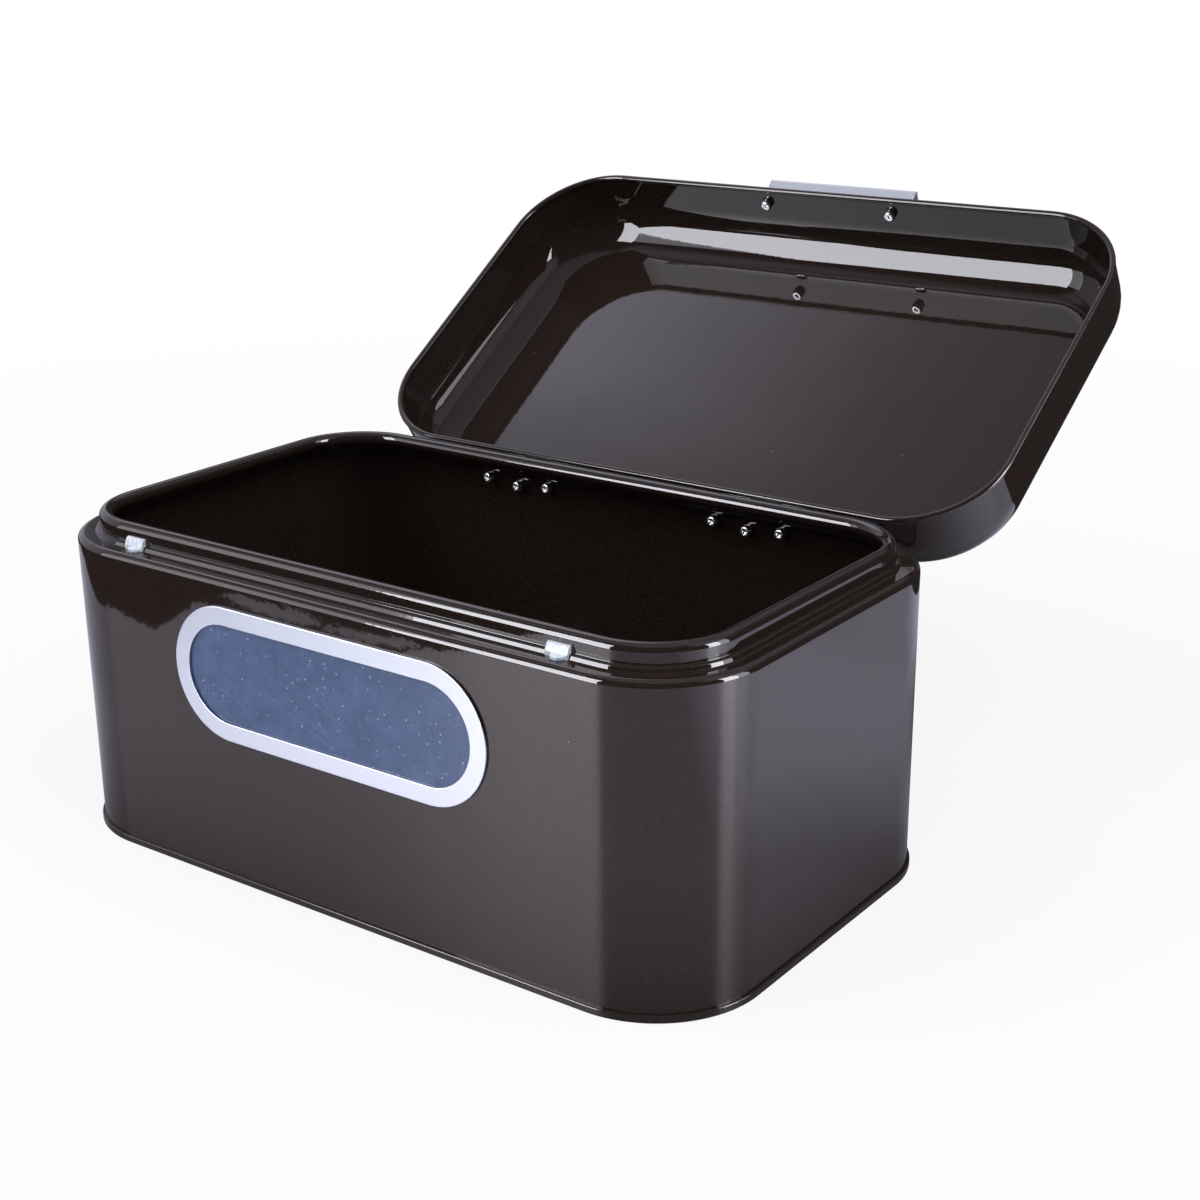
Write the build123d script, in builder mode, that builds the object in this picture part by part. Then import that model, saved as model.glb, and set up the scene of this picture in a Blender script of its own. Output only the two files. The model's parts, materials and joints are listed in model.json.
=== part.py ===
"""A bread bin: a windowed steel body and a domed lid that stands open on two riveted hinges.

Millimetres, +Z up, the front towards -Y. The origin is the middle of the base, on the table.
Insets are counted inwards from the outer face of the body wall or of the lid rim.
"""

import os
from math import radians, tan

from build123d import *

os.makedirs("parts", exist_ok=True)

# ---------------------------------------------------------------- driving dimensions

bin_width = 330.0
bin_depth = 195.2
corner_radius = 44.5
sheet = 0.7  # painted steel sheet of the body and of the lid

# Body: straight wall, rounded shoulder, ledge, small bead, neck and rolled mouth
shoulder_top = 130.8
shoulder_radius = 2.9
bead_inset = 8.0
bead_top = 132.3
neck_inset = 9.5
roll_radius = 3.1
roll_centre_z = 137.2
roll_turn = 235.0  # degrees of sheet in the rolled mouth
ledge_bend = 0.5  # outer radii of the small bends, at the bead and at its two feet
bead_bend = 0.9
neck_bend = 0.4

# Base: a recessed floor double-seamed round the wall
seam_proud = 1.2
seam_height = 3.2
seam_fold = 0.9
seam_bend = 0.7
floor_z = 3.4

# Window in the front wall
window_x = -1.5
window_z = 91.5
bezel_length = 160.0
bezel_height = 57.0
bezel_band = 7.7
bezel_thickness = 1.0
bezel_round = 0.4
pane_thickness = 1.5
pane_overlap = 1.1  # of the bezel's lip over the pane, all round
pane_gap = 0.1
collar_wall = 0.9
collar_gap = 0.1
collar_reach = 2.6  # behind the face of the wall
clamp_thickness = 0.8
clamp_flange = 5.0
clamp_wall = 1.5

# Lid, a deep pressing with a rolled rim
lid_width = 329.6
lid_depth = 194.4
lid_corner = 44.4
lid_height = 41.2
lid_edge_radius = 22.3
lid_roll_radius = 1.5
skirt_inset = 0.5

# Hinges
hinge_out = 5.45  # pin axis behind the back wall
hinge_z = 131.15
closed_rim_z = 131.3
open_angle = 146.3
hinge_mid_x = 4.2
hinge_spread = 62.2
leaf_sheet = 0.8
leaf_width = 44.0
leaf_corner = 4.0
leaf_bend = 1.0
leaf_foot = 13.6  # below the pin axis
body_plate_top = 3.6
lid_plate_top = 3.5
barrel_foot = 1.4  # the leaf sheet meets the barrel this far below the pin axis
knuckle_radius = 2.2
pin_radius = 1.2
pin_clearance = 0.05
middle_knuckle = 14.8
knuckle_gap = 0.2
barrel_length = 30.0
pin_head = 0.9
pin_head_proud = 0.5
tongue_width = 9.0
tongue_thickness = 1.1
tongue_root = 1.5
tongue_gap = 0.05
tongue_angle = 46.0  # below the level of the pin, with the lid open

# Blind rivets
rivet_pitch = 17.0
rivet_drop = 6.85  # outer rivets from the pin axis
middle_rivet_drop = 8.55
shank_radius = 1.6
hole_radius = 1.65
head_radius = 2.9
head_height = 1.1
tail_radius = 2.4
tail_length = 6.4
tail_chamfer = 0.8

# Handle, a bent strip on the lid front
handle_length = 82.4
handle_sheet = 1.0
handle_flange_start = 5.2  # depths behind the rim plane of the lid
handle_flange_end = 15.4
handle_reach = 16.0
handle_nose_depth = 10.4
handle_lip_reach = 14.4
handle_lip_depth = 16.6
handle_bend = 1.8
nose_bend = 0.5
handle_rivet_x = 35.0
handle_rivet_depth = 10.1

# Silicone bumpers on the bead
bumper_width = 9.8
bumper_top = 135.6
bumper_skin = 1.2
lobe_radius = 3.1
lobe_height = 1.3
lobe_shift = 0.8
bumper_places = {"left": -110.5, "right": 104.5}

# ---------------------------------------------------------------- frames of reference

back_y = bin_depth / 2
hinge_y = back_y + hinge_out
closed_rim_y = back_y + 0.08
hinge_places = {"left": hinge_mid_x - hinge_spread, "right": hinge_mid_x + hinge_spread}

# x along the bin, y outwards from the front wall and from the back wall
front_wall = Plane(origin=(0, -back_y, 0), x_dir=(1, 0, 0), z_dir=(0, -1, 0))
back_wall = Plane(origin=(0, back_y, 0), x_dir=(-1, 0, 0), z_dir=(0, 1, 0))

# The lid's own frame: origin at the hinge side of the rim, x along the bin, y across the
# lid to its front, z out of the mouth. It is turned about the pin from shut to open.
shut_lid = Plane(origin=(0, closed_rim_y, closed_rim_z), x_dir=(1, 0, 0), z_dir=(0, 0, -1))
swing = Pos(0, hinge_y, hinge_z) * Rot(-open_angle, 0, 0) * Pos(0, -hinge_y, -hinge_z)
lid_plane = Plane(swing * shut_lid.location)
lid_out = Axis(lid_plane.origin, lid_plane.z_dir)

# The pin axis in the lid's frame
pin_in_lid_y = closed_rim_y - hinge_y
pin_in_lid_z = closed_rim_z - hinge_z


# Window, from the middle outwards: sight opening, pocket for the pane and its collar
sight_length = bezel_length - 2 * bezel_band
sight_height = bezel_height - 2 * bezel_band
pocket_length = sight_length + 2 * pane_overlap
pocket_height = sight_height + 2 * pane_overlap
collar_length = pocket_length + 2 * collar_wall
collar_height = pocket_height + 2 * collar_wall

# Hinge leaves: flat plate, and tabs that carry the knuckles
leaf_foot_z = hinge_z - leaf_foot
plate_top_z = hinge_z - body_plate_top
lid_leaf_foot = pin_in_lid_z - leaf_foot
lid_leaf_top = pin_in_lid_z - lid_plate_top
tab_width = (barrel_length - middle_knuckle) / 2 - knuckle_gap
tab_offset = (barrel_length - tab_width) / 2
pin_half_length = barrel_length / 2 + 0.1


def body_rivet_places(hinge_x):
    """The three rivets of a body leaf on the back wall, the middle one lower."""
    outer_z = hinge_z - rivet_drop
    middle_z = hinge_z - middle_rivet_drop
    return [(rivet_pitch - hinge_x, outer_z), (-hinge_x, middle_z), (-rivet_pitch - hinge_x, outer_z)]


def lid_rivet_places(hinge_x):
    """The three rivets of a lid leaf on the back of the skirt, as far from the pin."""
    outer = pin_in_lid_z - rivet_drop
    middle = pin_in_lid_z - middle_rivet_drop
    return [(hinge_x - rivet_pitch, outer), (hinge_x, middle), (hinge_x + rivet_pitch, outer)]


def tongue_points():
    """Corners of the stop tongue, seen across the bin with the lid open."""
    slope = tan(radians(tongue_angle))
    points = []
    for run in (tongue_root, hinge_out - leaf_sheet - tongue_gap):
        middle_z = hinge_z - slope * run
        points.append((hinge_y - run, middle_z - tongue_thickness / 2))
        points.append((hinge_y - run, middle_z + tongue_thickness / 2))
    return [points[0], points[1], points[3], points[2]]


handle_rivet_places = [(-handle_rivet_x, -handle_rivet_depth), (handle_rivet_x, -handle_rivet_depth)]


def across_body(x):
    """Plane square to the bin's length, x to the back and y up."""
    return Plane(origin=(x, 0, 0), x_dir=(0, 1, 0), z_dir=(1, 0, 0))


def across_lid(x):
    """Plane square to the bin's length, x across the lid and y out of its mouth."""
    origin = lid_plane.origin + lid_plane.x_dir * x
    return Plane(origin=origin, x_dir=lid_plane.y_dir, z_dir=lid_plane.x_dir)


def rounded_path(width, depth, radius, plane):
    """Closed rounded rectangle, run anticlockwise round the middle of a plane."""
    half_w = width / 2
    half_d = depth / 2
    with BuildLine(plane) as path:
        FilletPolyline(
            (half_w, half_d), (-half_w, half_d), (-half_w, -half_d), (half_w, -half_d),
            close=True,
            radius=radius,
        )
    return path.wires()[0]


def section_plane(path, up):
    """Plane square to a path at its start, with x pointing inwards."""
    along = path % 0
    return Plane(origin=path @ 0, x_dir=up.cross(along), z_dir=along)


def rivet_holes(plane, places, material):
    """Punch a row of rivet holes through the sheet that lies just inside a plane."""
    with BuildSketch(plane) as holes:
        with Locations(places):
            Circle(hole_radius)
    extrude(holes.sketch, amount=-material, mode=Mode.SUBTRACT)


def save(piece, name):
    """Label a finished piece and write it as one STEP file."""
    piece.part.label = name
    export_step(piece.part, f"parts/{name}.step")


# ---------------------------------------------------------------- body shell

wall_path = rounded_path(bin_width, bin_depth, corner_radius, Plane.XY)

with BuildPart() as body_shell:
    with BuildSketch(section_plane(wall_path, Vector(0, 0, 1))) as wall_section:
        with BuildLine():
            side_ends = []
            for t in (0, sheet):
                rise = FilletPolyline(
                    (t, seam_fold),
                    (t, shoulder_top - t),
                    (bead_inset + t, shoulder_top - t),
                    (bead_inset + t, bead_top - t),
                    (neck_inset + t, bead_top - t),
                    (neck_inset + t, roll_centre_z),
                    radius=(shoulder_radius - t, ledge_bend + t, bead_bend - t, neck_bend + t),
                )
                roll = JernArc(rise @ 1, rise % 1, roll_radius - t, -roll_turn)
                side_ends.append((rise @ 0, roll @ 1))
            outside, inside = side_ends
            Line(outside[0], inside[0])
            Line(outside[1], inside[1])
        make_face()
    sweep(path=wall_path)

    # Window opening, a little wider than the collar of the bezel
    with BuildSketch(front_wall) as window_hole:
        with Locations((window_x, window_z)):
            SlotOverall(collar_length + 2 * collar_gap, collar_height + 2 * collar_gap)
    extrude(amount=-(sheet + 1), mode=Mode.SUBTRACT)

    for hinge_x in hinge_places.values():
        rivet_holes(back_wall, body_rivet_places(hinge_x), sheet + 1)

save(body_shell, "body_shell")

# ---------------------------------------------------------------- base pan

with BuildPart() as base_pan:
    # The seam folds under the wall and up both its faces
    with BuildSketch(section_plane(wall_path, Vector(0, 0, 1))) as seam_section:
        with BuildLine():
            FilletPolyline(
                (0, seam_fold),
                (0, seam_height),
                (-seam_proud, seam_height),
                (-seam_proud, 0),
                (2 * sheet, 0),
                (2 * sheet, floor_z + sheet),
                (sheet, floor_z + sheet),
                (sheet, seam_fold),
                close=True,
                radius=(0, 0, seam_bend, seam_bend, seam_bend, 0, 0, 0),
            )
        make_face()
    sweep(path=wall_path)

    with BuildSketch(Plane.XY.offset(floor_z)) as floor_outline:
        RectangleRounded(bin_width - 3 * sheet, bin_depth - 3 * sheet, corner_radius - 1.5 * sheet)
    extrude(amount=sheet)

save(base_pan, "base_pan")

# ---------------------------------------------------------------- window

with BuildPart() as window_bezel:
    with BuildSketch(front_wall) as band:
        with Locations((window_x, window_z)):
            SlotOverall(bezel_length, bezel_height)
            SlotOverall(sight_length, sight_height, mode=Mode.SUBTRACT)
    extrude(amount=bezel_thickness)
    outer_edges = window_bezel.faces().sort_by(Axis.Y)[0].outer_wire().edges()
    fillet(outer_edges, bezel_round)

    # Collar through the wall, with a lip left in front that stops the pane
    with BuildSketch(front_wall) as collar:
        with Locations((window_x, window_z)):
            SlotOverall(collar_length, collar_height)
            SlotOverall(pocket_length, pocket_height, mode=Mode.SUBTRACT)
    extrude(amount=-collar_reach)

save(window_bezel, "window_bezel")

with BuildPart() as window_pane:
    with BuildSketch(front_wall) as pane_outline:
        with Locations((window_x, window_z)):
            SlotOverall(pocket_length - 2 * pane_gap, pocket_height - 2 * pane_gap)
    extrude(amount=-pane_thickness)

save(window_pane, "window_pane")

with BuildPart() as window_clamp:
    # A ring that presses on to the collar from inside and lies against the wall
    with BuildSketch(front_wall.offset(-sheet)) as clamp_outline:
        with Locations((window_x, window_z)):
            SlotOverall(collar_length + 2 * clamp_flange, collar_height + 2 * clamp_flange)
            SlotOverall(collar_length, collar_height, mode=Mode.SUBTRACT)
    extrude(amount=-clamp_thickness)
    with BuildSketch(front_wall.offset(-collar_reach)) as clamp_lip:
        with Locations((window_x, window_z)):
            SlotOverall(collar_length + 2 * clamp_wall, collar_height + 2 * clamp_wall)
            SlotOverall(sight_length, sight_height, mode=Mode.SUBTRACT)
    extrude(amount=-sheet)
    with BuildSketch(front_wall.offset(-sheet - clamp_thickness)) as clamp_skirt:
        with Locations((window_x, window_z)):
            SlotOverall(collar_length + 2 * clamp_wall, collar_height + 2 * clamp_wall)
            SlotOverall(collar_length, collar_height, mode=Mode.SUBTRACT)
    extrude(amount=-(collar_reach - sheet - clamp_thickness))

save(window_clamp, "window_clamp")

# ---------------------------------------------------------------- lid shell

lid_front = Plane(
    origin=lid_plane.origin + lid_plane.y_dir * (lid_depth - skirt_inset),
    x_dir=(-1, 0, 0),
    z_dir=lid_plane.y_dir,
)
lid_back = Plane(
    origin=lid_plane.origin + lid_plane.y_dir * skirt_inset,
    x_dir=(1, 0, 0),
    z_dir=-lid_plane.y_dir,
)

with BuildPart() as lid_shell:
    with BuildSketch(lid_plane) as skirt_outline:
        with Locations((0, lid_depth / 2)):
            RectangleRounded(
                lid_width - 2 * skirt_inset,
                lid_depth - 2 * skirt_inset,
                lid_corner - skirt_inset,
            )
    extrude(amount=-lid_height)
    fillet(lid_shell.faces().sort_by(lid_out)[0].edges(), lid_edge_radius)
    offset(amount=-sheet, openings=lid_shell.faces().sort_by(lid_out)[-1])

    # The rim is rolled into a tight bead
    rim_middle = lid_plane.from_local_coords(Vector(0, lid_depth / 2, -lid_roll_radius))
    roll_plane = Plane(origin=rim_middle, x_dir=lid_plane.x_dir, z_dir=lid_plane.z_dir)
    rim_path = rounded_path(
        lid_width - 2 * lid_roll_radius,
        lid_depth - 2 * lid_roll_radius,
        lid_corner - lid_roll_radius,
        roll_plane,
    )
    with BuildSketch(section_plane(rim_path, lid_plane.z_dir)) as rim_section:
        Circle(lid_roll_radius)
    sweep(path=rim_path)

    rivet_holes(lid_front, handle_rivet_places, sheet + 1)
    for hinge_x in hinge_places.values():
        rivet_holes(lid_back, lid_rivet_places(hinge_x), sheet + 1)

save(lid_shell, "lid_shell")

# ---------------------------------------------------------------- handle

with BuildPart() as lid_handle:
    with BuildSketch(across_lid(-handle_length / 2)) as strip_section:
        with BuildLine():
            foot = lid_depth - skirt_inset
            FilletPolyline(
                (foot, -handle_flange_start),
                (foot, -handle_flange_end),
                (foot + handle_reach, -handle_nose_depth),
                (foot + handle_lip_reach, -handle_lip_depth),
                radius=(handle_bend, nose_bend),
            )
            offset(amount=handle_sheet, side=Side.LEFT)
        make_face()
    extrude(amount=handle_length)
    rivet_holes(lid_front.offset(2 * handle_sheet), handle_rivet_places, 3 * handle_sheet)

save(lid_handle, "lid_handle")

# ---------------------------------------------------------------- hinges


def leaf_section(points, side, pin_centre):
    """Bent sheet from its foot, flat on a face, over a jog and up to the barrel round the pin."""
    with BuildLine() as bent:
        FilletPolyline(*points, radius=leaf_bend)
        offset(amount=leaf_sheet, side=side)
    make_face(bent.edges())
    with Locations(pin_centre):
        Circle(knuckle_radius)
        Circle(pin_radius + pin_clearance, mode=Mode.SUBTRACT)


def leaf_plate(hinge_x, foot, top):
    """The flat plate of a leaf, with rounded corners at its foot."""
    corner_y = foot + leaf_corner if top > foot else foot - leaf_corner
    with Locations((hinge_x, (corner_y + top) / 2)):
        Rectangle(leaf_width, abs(top - corner_y))
    with Locations((hinge_x, corner_y)):
        RectangleRounded(leaf_width, 2 * leaf_corner, leaf_corner - 0.1)


for side_name, hinge_x in hinge_places.items():
    low_x = hinge_x - leaf_width / 2

    with BuildPart() as body_leaf:
        with BuildSketch(across_body(low_x)) as body_leaf_section:
            bends = [
                (back_y, leaf_foot_z),
                (back_y, plate_top_z),
                (hinge_y - knuckle_radius, hinge_z - barrel_foot),
                (hinge_y - knuckle_radius, hinge_z),
            ]
            leaf_section(bends, Side.RIGHT, (hinge_y, hinge_z))
        extrude(amount=leaf_width)
        with BuildSketch(back_wall) as body_leaf_outline:
            leaf_plate(-hinge_x, leaf_foot_z, plate_top_z)
            with Locations((-hinge_x - tab_offset, hinge_z), (-hinge_x + tab_offset, hinge_z)):
                Rectangle(tab_width, 2 * body_plate_top + 2)
        extrude(amount=2 * hinge_out, mode=Mode.INTERSECT)
        rivet_holes(back_wall.offset(2), body_rivet_places(hinge_x), 3)
    save(body_leaf, f"hinge_{side_name}_body_leaf")

    with BuildPart() as lid_leaf:
        with BuildSketch(across_lid(low_x)) as lid_leaf_section:
            bends = [
                (skirt_inset, lid_leaf_foot),
                (skirt_inset, lid_leaf_top),
                (pin_in_lid_y + knuckle_radius, pin_in_lid_z - barrel_foot),
                (pin_in_lid_y + knuckle_radius, pin_in_lid_z),
            ]
            leaf_section(bends, Side.LEFT, (pin_in_lid_y, pin_in_lid_z))
        extrude(amount=leaf_width)
        with BuildSketch(lid_back) as lid_leaf_outline:
            leaf_plate(hinge_x, lid_leaf_foot, lid_leaf_top)
            with Locations((hinge_x, pin_in_lid_z)):
                Rectangle(middle_knuckle, 2 * lid_plate_top + 2)
        extrude(amount=2 * hinge_out + 2, mode=Mode.INTERSECT)

        # Stop tongue: it meets the body leaf when the lid is fully open
        with BuildSketch(across_body(hinge_x - tongue_width / 2)) as tongue_section:
            with BuildLine():
                Polyline(tongue_points(), close=True)
            make_face()
        extrude(amount=tongue_width)
        rivet_holes(lid_back.offset(2), lid_rivet_places(hinge_x), 3)
    save(lid_leaf, f"hinge_{side_name}_lid_leaf")

    with BuildPart() as hinge_pin:
        with BuildSketch(across_body(hinge_x)) as pin_section:
            with Locations((hinge_y, hinge_z)):
                Circle(pin_radius)
        extrude(amount=pin_half_length, both=True)
        for outwards in (-1, 1):
            with BuildSketch(across_body(hinge_x + outwards * pin_half_length)) as peened_end:
                with Locations((hinge_y, hinge_z)):
                    Circle(pin_radius + pin_head_proud)
            extrude(amount=outwards * pin_head)
    save(hinge_pin, f"hinge_{side_name}_pin")

# ---------------------------------------------------------------- blind rivets


def blind_rivet(place, plane, grip, name):
    """A set blind rivet: domed head outside, and a tail that has swelled behind the sheet."""
    head = plane.from_local_coords(Vector(place[0], place[1], 0))
    tail_end = -grip - tail_length
    with BuildPart() as rivet:
        with BuildSketch(Plane(origin=head, x_dir=plane.x_dir, z_dir=-plane.y_dir)):
            with BuildLine():
                dome_middle = (0.6 * head_radius, 0.75 * head_height)
                dome = ThreePointArc((0, head_height), dome_middle, (head_radius, 0))
                Polyline(
                    dome @ 1,
                    (shank_radius, 0),
                    (shank_radius, -grip),
                    (tail_radius, -grip),
                    (tail_radius, tail_end + tail_chamfer),
                    (tail_radius - tail_chamfer, tail_end),
                    (0, tail_end),
                    dome @ 0,
                )
            make_face()
        revolve(axis=Axis(head, plane.z_dir))
    save(rivet, name)


for side_name, hinge_x in hinge_places.items():
    for number, place in enumerate(body_rivet_places(hinge_x), start=1):
        name = f"body_rivet_{side_name}_{number}"
        blind_rivet(place, back_wall.offset(leaf_sheet), leaf_sheet + sheet, name)
    for number, place in enumerate(lid_rivet_places(hinge_x), start=1):
        name = f"lid_rivet_{side_name}_{number}"
        blind_rivet(place, lid_back.offset(leaf_sheet), leaf_sheet + sheet, name)

for side_name, place in zip(("right", "left"), handle_rivet_places):
    name = f"handle_rivet_{side_name}"
    blind_rivet(place, lid_front.offset(handle_sheet), handle_sheet + sheet, name)

# ---------------------------------------------------------------- silicone bumpers

for side_name, bumper_x in bumper_places.items():
    with BuildPart() as bumper:
        # A pad moulded over the bead and up the neck
        pad_left = bumper_x - bumper_width / 2
        pad_start = Plane(origin=(pad_left, -back_y, 0), x_dir=(0, 1, 0), z_dir=(1, 0, 0))
        within_sheet = bead_inset + 0.3
        with BuildSketch(pad_start) as pad_section:
            with BuildLine():
                FilletPolyline(
                    (neck_inset + sheet / 2, bumper_top),
                    (neck_inset - bumper_skin, bumper_top),
                    (bead_inset - bumper_skin, bead_top + 0.3),
                    (bead_inset - bumper_skin, shoulder_top),
                    (within_sheet, shoulder_top),
                    (within_sheet, bead_top - 0.8),
                    (bead_inset + 1.2, bead_top - 0.2),
                    (neck_inset + sheet / 2, bead_top + 0.3),
                    close=True,
                    radius=(0, 0.6, 0.8, 0, 0, 0, 0, 0),
                )
            make_face()
        extrude(amount=bumper_width)
        # A round lobe that lies on the ledge in front of the pad
        lobe_middle = (bumper_x + lobe_shift, -back_y + bead_inset - lobe_shift)
        with BuildSketch(Plane.XY.offset(shoulder_top)) as lobe_outline:
            with Locations(lobe_middle):
                Circle(lobe_radius)
                with Locations((0, lobe_radius)):
                    Rectangle(3 * lobe_radius, 2 * lobe_radius, mode=Mode.SUBTRACT)
        extrude(amount=lobe_height)
        add(body_shell.part, mode=Mode.SUBTRACT)
    save(bumper, f"bumper_{side_name}")
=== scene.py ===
# %% [markdown]
# # A bread bin in baked lacquer
# The bin is a box of thin steel sheet: a wall that is rolled in at the mouth, a floor seamed on
# from below, and a deep domed lid that stands open on two riveted hinges. CAD has settled every
# size and place. This lesson gives the parts their looks: smooth surfaces for the bent sheet,
# turned rivets, soft silicone, and a studio whose lamps draw lines of light along the bends.

# %% The CAD frame, and the units of this lesson
import json
import math

import bmesh
import bpy
import numpy as np
from mathutils import Matrix, Vector

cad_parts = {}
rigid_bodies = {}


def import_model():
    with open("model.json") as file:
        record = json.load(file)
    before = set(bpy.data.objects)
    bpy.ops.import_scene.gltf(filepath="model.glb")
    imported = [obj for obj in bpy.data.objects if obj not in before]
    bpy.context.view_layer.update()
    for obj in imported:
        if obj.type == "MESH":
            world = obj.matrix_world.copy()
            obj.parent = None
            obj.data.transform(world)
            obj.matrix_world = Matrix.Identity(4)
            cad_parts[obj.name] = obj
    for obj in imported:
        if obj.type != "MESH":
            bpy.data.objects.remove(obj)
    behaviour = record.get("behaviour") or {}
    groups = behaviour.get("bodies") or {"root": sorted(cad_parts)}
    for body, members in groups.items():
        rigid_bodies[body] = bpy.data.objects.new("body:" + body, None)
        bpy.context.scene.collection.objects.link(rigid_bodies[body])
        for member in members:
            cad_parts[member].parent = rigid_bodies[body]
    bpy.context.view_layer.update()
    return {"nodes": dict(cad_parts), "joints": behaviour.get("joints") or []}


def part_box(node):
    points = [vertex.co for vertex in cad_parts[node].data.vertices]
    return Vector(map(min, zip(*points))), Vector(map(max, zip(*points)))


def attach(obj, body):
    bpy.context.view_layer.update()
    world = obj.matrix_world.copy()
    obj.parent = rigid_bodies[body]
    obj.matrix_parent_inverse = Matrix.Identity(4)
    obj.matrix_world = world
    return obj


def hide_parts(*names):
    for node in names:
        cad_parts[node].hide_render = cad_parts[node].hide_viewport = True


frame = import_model()
MM = 0.001

# %% [markdown]
# ## Camera
# The bin is seen from its right front and a little from above: the camera looks down by 20
# degrees and stands 36 degrees to the right of the front. A long lens keeps the box calm. A
# camera in Blender looks along its own -Z with +Y up, so its matrix holds right, up and back.

# %% Camera at the bin's right front
CAMERA_PLACE = np.array((495.4, -600.3, 375.2)) * MM
CAMERA_TURN = 36.19  # degrees from the front towards the right end
CAMERA_DIP = 19.86
CAMERA_TILT = -0.54
FOCAL_LENGTH = 59.61  # on a 36 mm sensor
LENS_SHIFT = (0.0019, 0.0194)

turn, dip, tilt = np.radians((CAMERA_TURN, CAMERA_DIP, CAMERA_TILT))
level_right = np.array((math.cos(turn), math.sin(turn), 0.0))
level_ahead = np.array((-math.sin(turn), math.cos(turn), 0.0))
ahead = level_ahead * math.cos(dip) - np.array((0.0, 0.0, math.sin(dip)))
level_up = np.cross(level_right, ahead)
camera_right = math.cos(tilt) * level_right + math.sin(tilt) * level_up
camera_up = -math.sin(tilt) * level_right + math.cos(tilt) * level_up

camera_data = bpy.data.cameras.new("camera")
camera_data.sensor_width = 36.0
camera_data.lens = FOCAL_LENGTH
camera_data.shift_x, camera_data.shift_y = LENS_SHIFT
camera_data.clip_start = 0.01
camera = bpy.data.objects.new("camera", camera_data)
bpy.context.scene.collection.objects.link(camera)
stance = np.eye(4)
stance[:3, :3] = np.stack([camera_right, camera_up, -ahead], axis=1)
stance[:3, 3] = CAMERA_PLACE
camera.matrix_world = Matrix(stance.tolist())
bpy.context.scene.camera = camera
bpy.context.scene.view_settings.view_transform = "Standard"
print("camera at", np.round(CAMERA_PLACE, 3).tolist())

# %% [markdown]
# ## Lines of bent sheet
# Sheet metal is made of straights and arcs that meet without a corner. So each section is a
# list of corners with a bend radius at each, and the arcs are worked out between them. A mirror
# gloss shows the slightest wrong normal, so every line carries its exact normals with it.

# %% Straights and arcs
def left_of(heading):
    """The direction 90 degrees to the left of a heading, in a plane."""
    return np.stack([-heading[..., 1], heading[..., 0]], axis=-1)


def turned_by(vector, angles):
    """A plane vector turned by each of some angles: (c x - s y, s x + c y)."""
    c, s = np.cos(angles), np.sin(angles)
    return np.stack([c * vector[0] - s * vector[1], s * vector[0] + c * vector[1]], axis=-1)


def arc_from(start, heading, radius, sweep, step=7.5):
    """Points and headings of an arc that leaves start along heading and turns by sweep degrees.
    The centre lies one radius to the left, or to the right where the sweep is negative."""
    side = left_of(heading) * math.copysign(1.0, sweep)
    count = max(2, math.ceil(abs(sweep) / step) + 1)
    angles = np.radians(np.linspace(0.0, sweep, count))
    return start + radius * side + turned_by(-radius * side, angles), turned_by(heading, angles)


STRAIGHT = 1e-6  # a bend in radians, or a length in mm, that counts as none


def bent_line(corners, radii=()):
    """An open line through corners, in mm. Each inner corner becomes an arc of its radius r
    that starts r tan(half the bend) before it. Returns points and the normals to the left."""
    corners = np.array(corners, float)
    steps = np.diff(corners, axis=0)
    headings = steps / np.linalg.norm(steps, axis=1)[:, None]
    points, directions = [corners[:1]], [headings[:1]]
    for number, radius in enumerate(radii):
        before, after = headings[number], headings[number + 1]
        bend = math.atan2(before[0] * after[1] - before[1] * after[0], before @ after)
        corner = corners[number + 1]
        if abs(bend) < STRAIGHT:
            points.append(corner[None])
            directions.append(before[None])
            continue
        start = corner - before * radius * math.tan(abs(bend) / 2)
        arc, along = arc_from(start, before, radius, math.degrees(bend))
        points.append(arc)
        directions.append(along)
    points.append(corners[-1:])
    directions.append(headings[-1:])
    return np.concatenate(points), left_of(np.concatenate(directions))


RIM_ROWS = 5  # points of the half round on each end of a section


def both_faces(points, normals, thickness):
    """A closed section of sheet: the given face, a half round at the end, the other face at one
    thickness along the normals, run backwards, and a half round at the start."""
    angles = np.radians(np.linspace(0.0, 180.0, RIM_ROWS + 2))[1:-1, None]
    other = points - normals * thickness
    rims, rim_normals = [], []
    for end, way in ((-1, 1.0), (0, -1.0)):
        normal = normals[end] * way
        forward = -left_of(normals[end]) * way
        spokes = np.cos(angles) * normal + np.sin(angles) * forward
        rims.append((points[end] + other[end]) / 2 + spokes * thickness / 2)
        rim_normals.append(spokes)
    section = np.concatenate([points, rims[0], other[::-1], rims[1]])
    return section, np.concatenate([normals, rim_normals[0], -normals[::-1], rim_normals[1]])


example, _ = bent_line([(0, 0), (0, 10), (10, 10)], [3])
print("a bent line of", len(example), "points")

# %% [markdown]
# ## Surfaces on a grid
# The wall, the seam, the lid and the window ring are all one idea: a section carried round a
# rounded rectangle. Point (row, column) is the path's point, moved inwards by the section's
# inset and up by its height. numpy works out the whole grid at once. The UV map is laid in
# metres, up the section and along the path, so the grain of the metal can follow the sheet.

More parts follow.
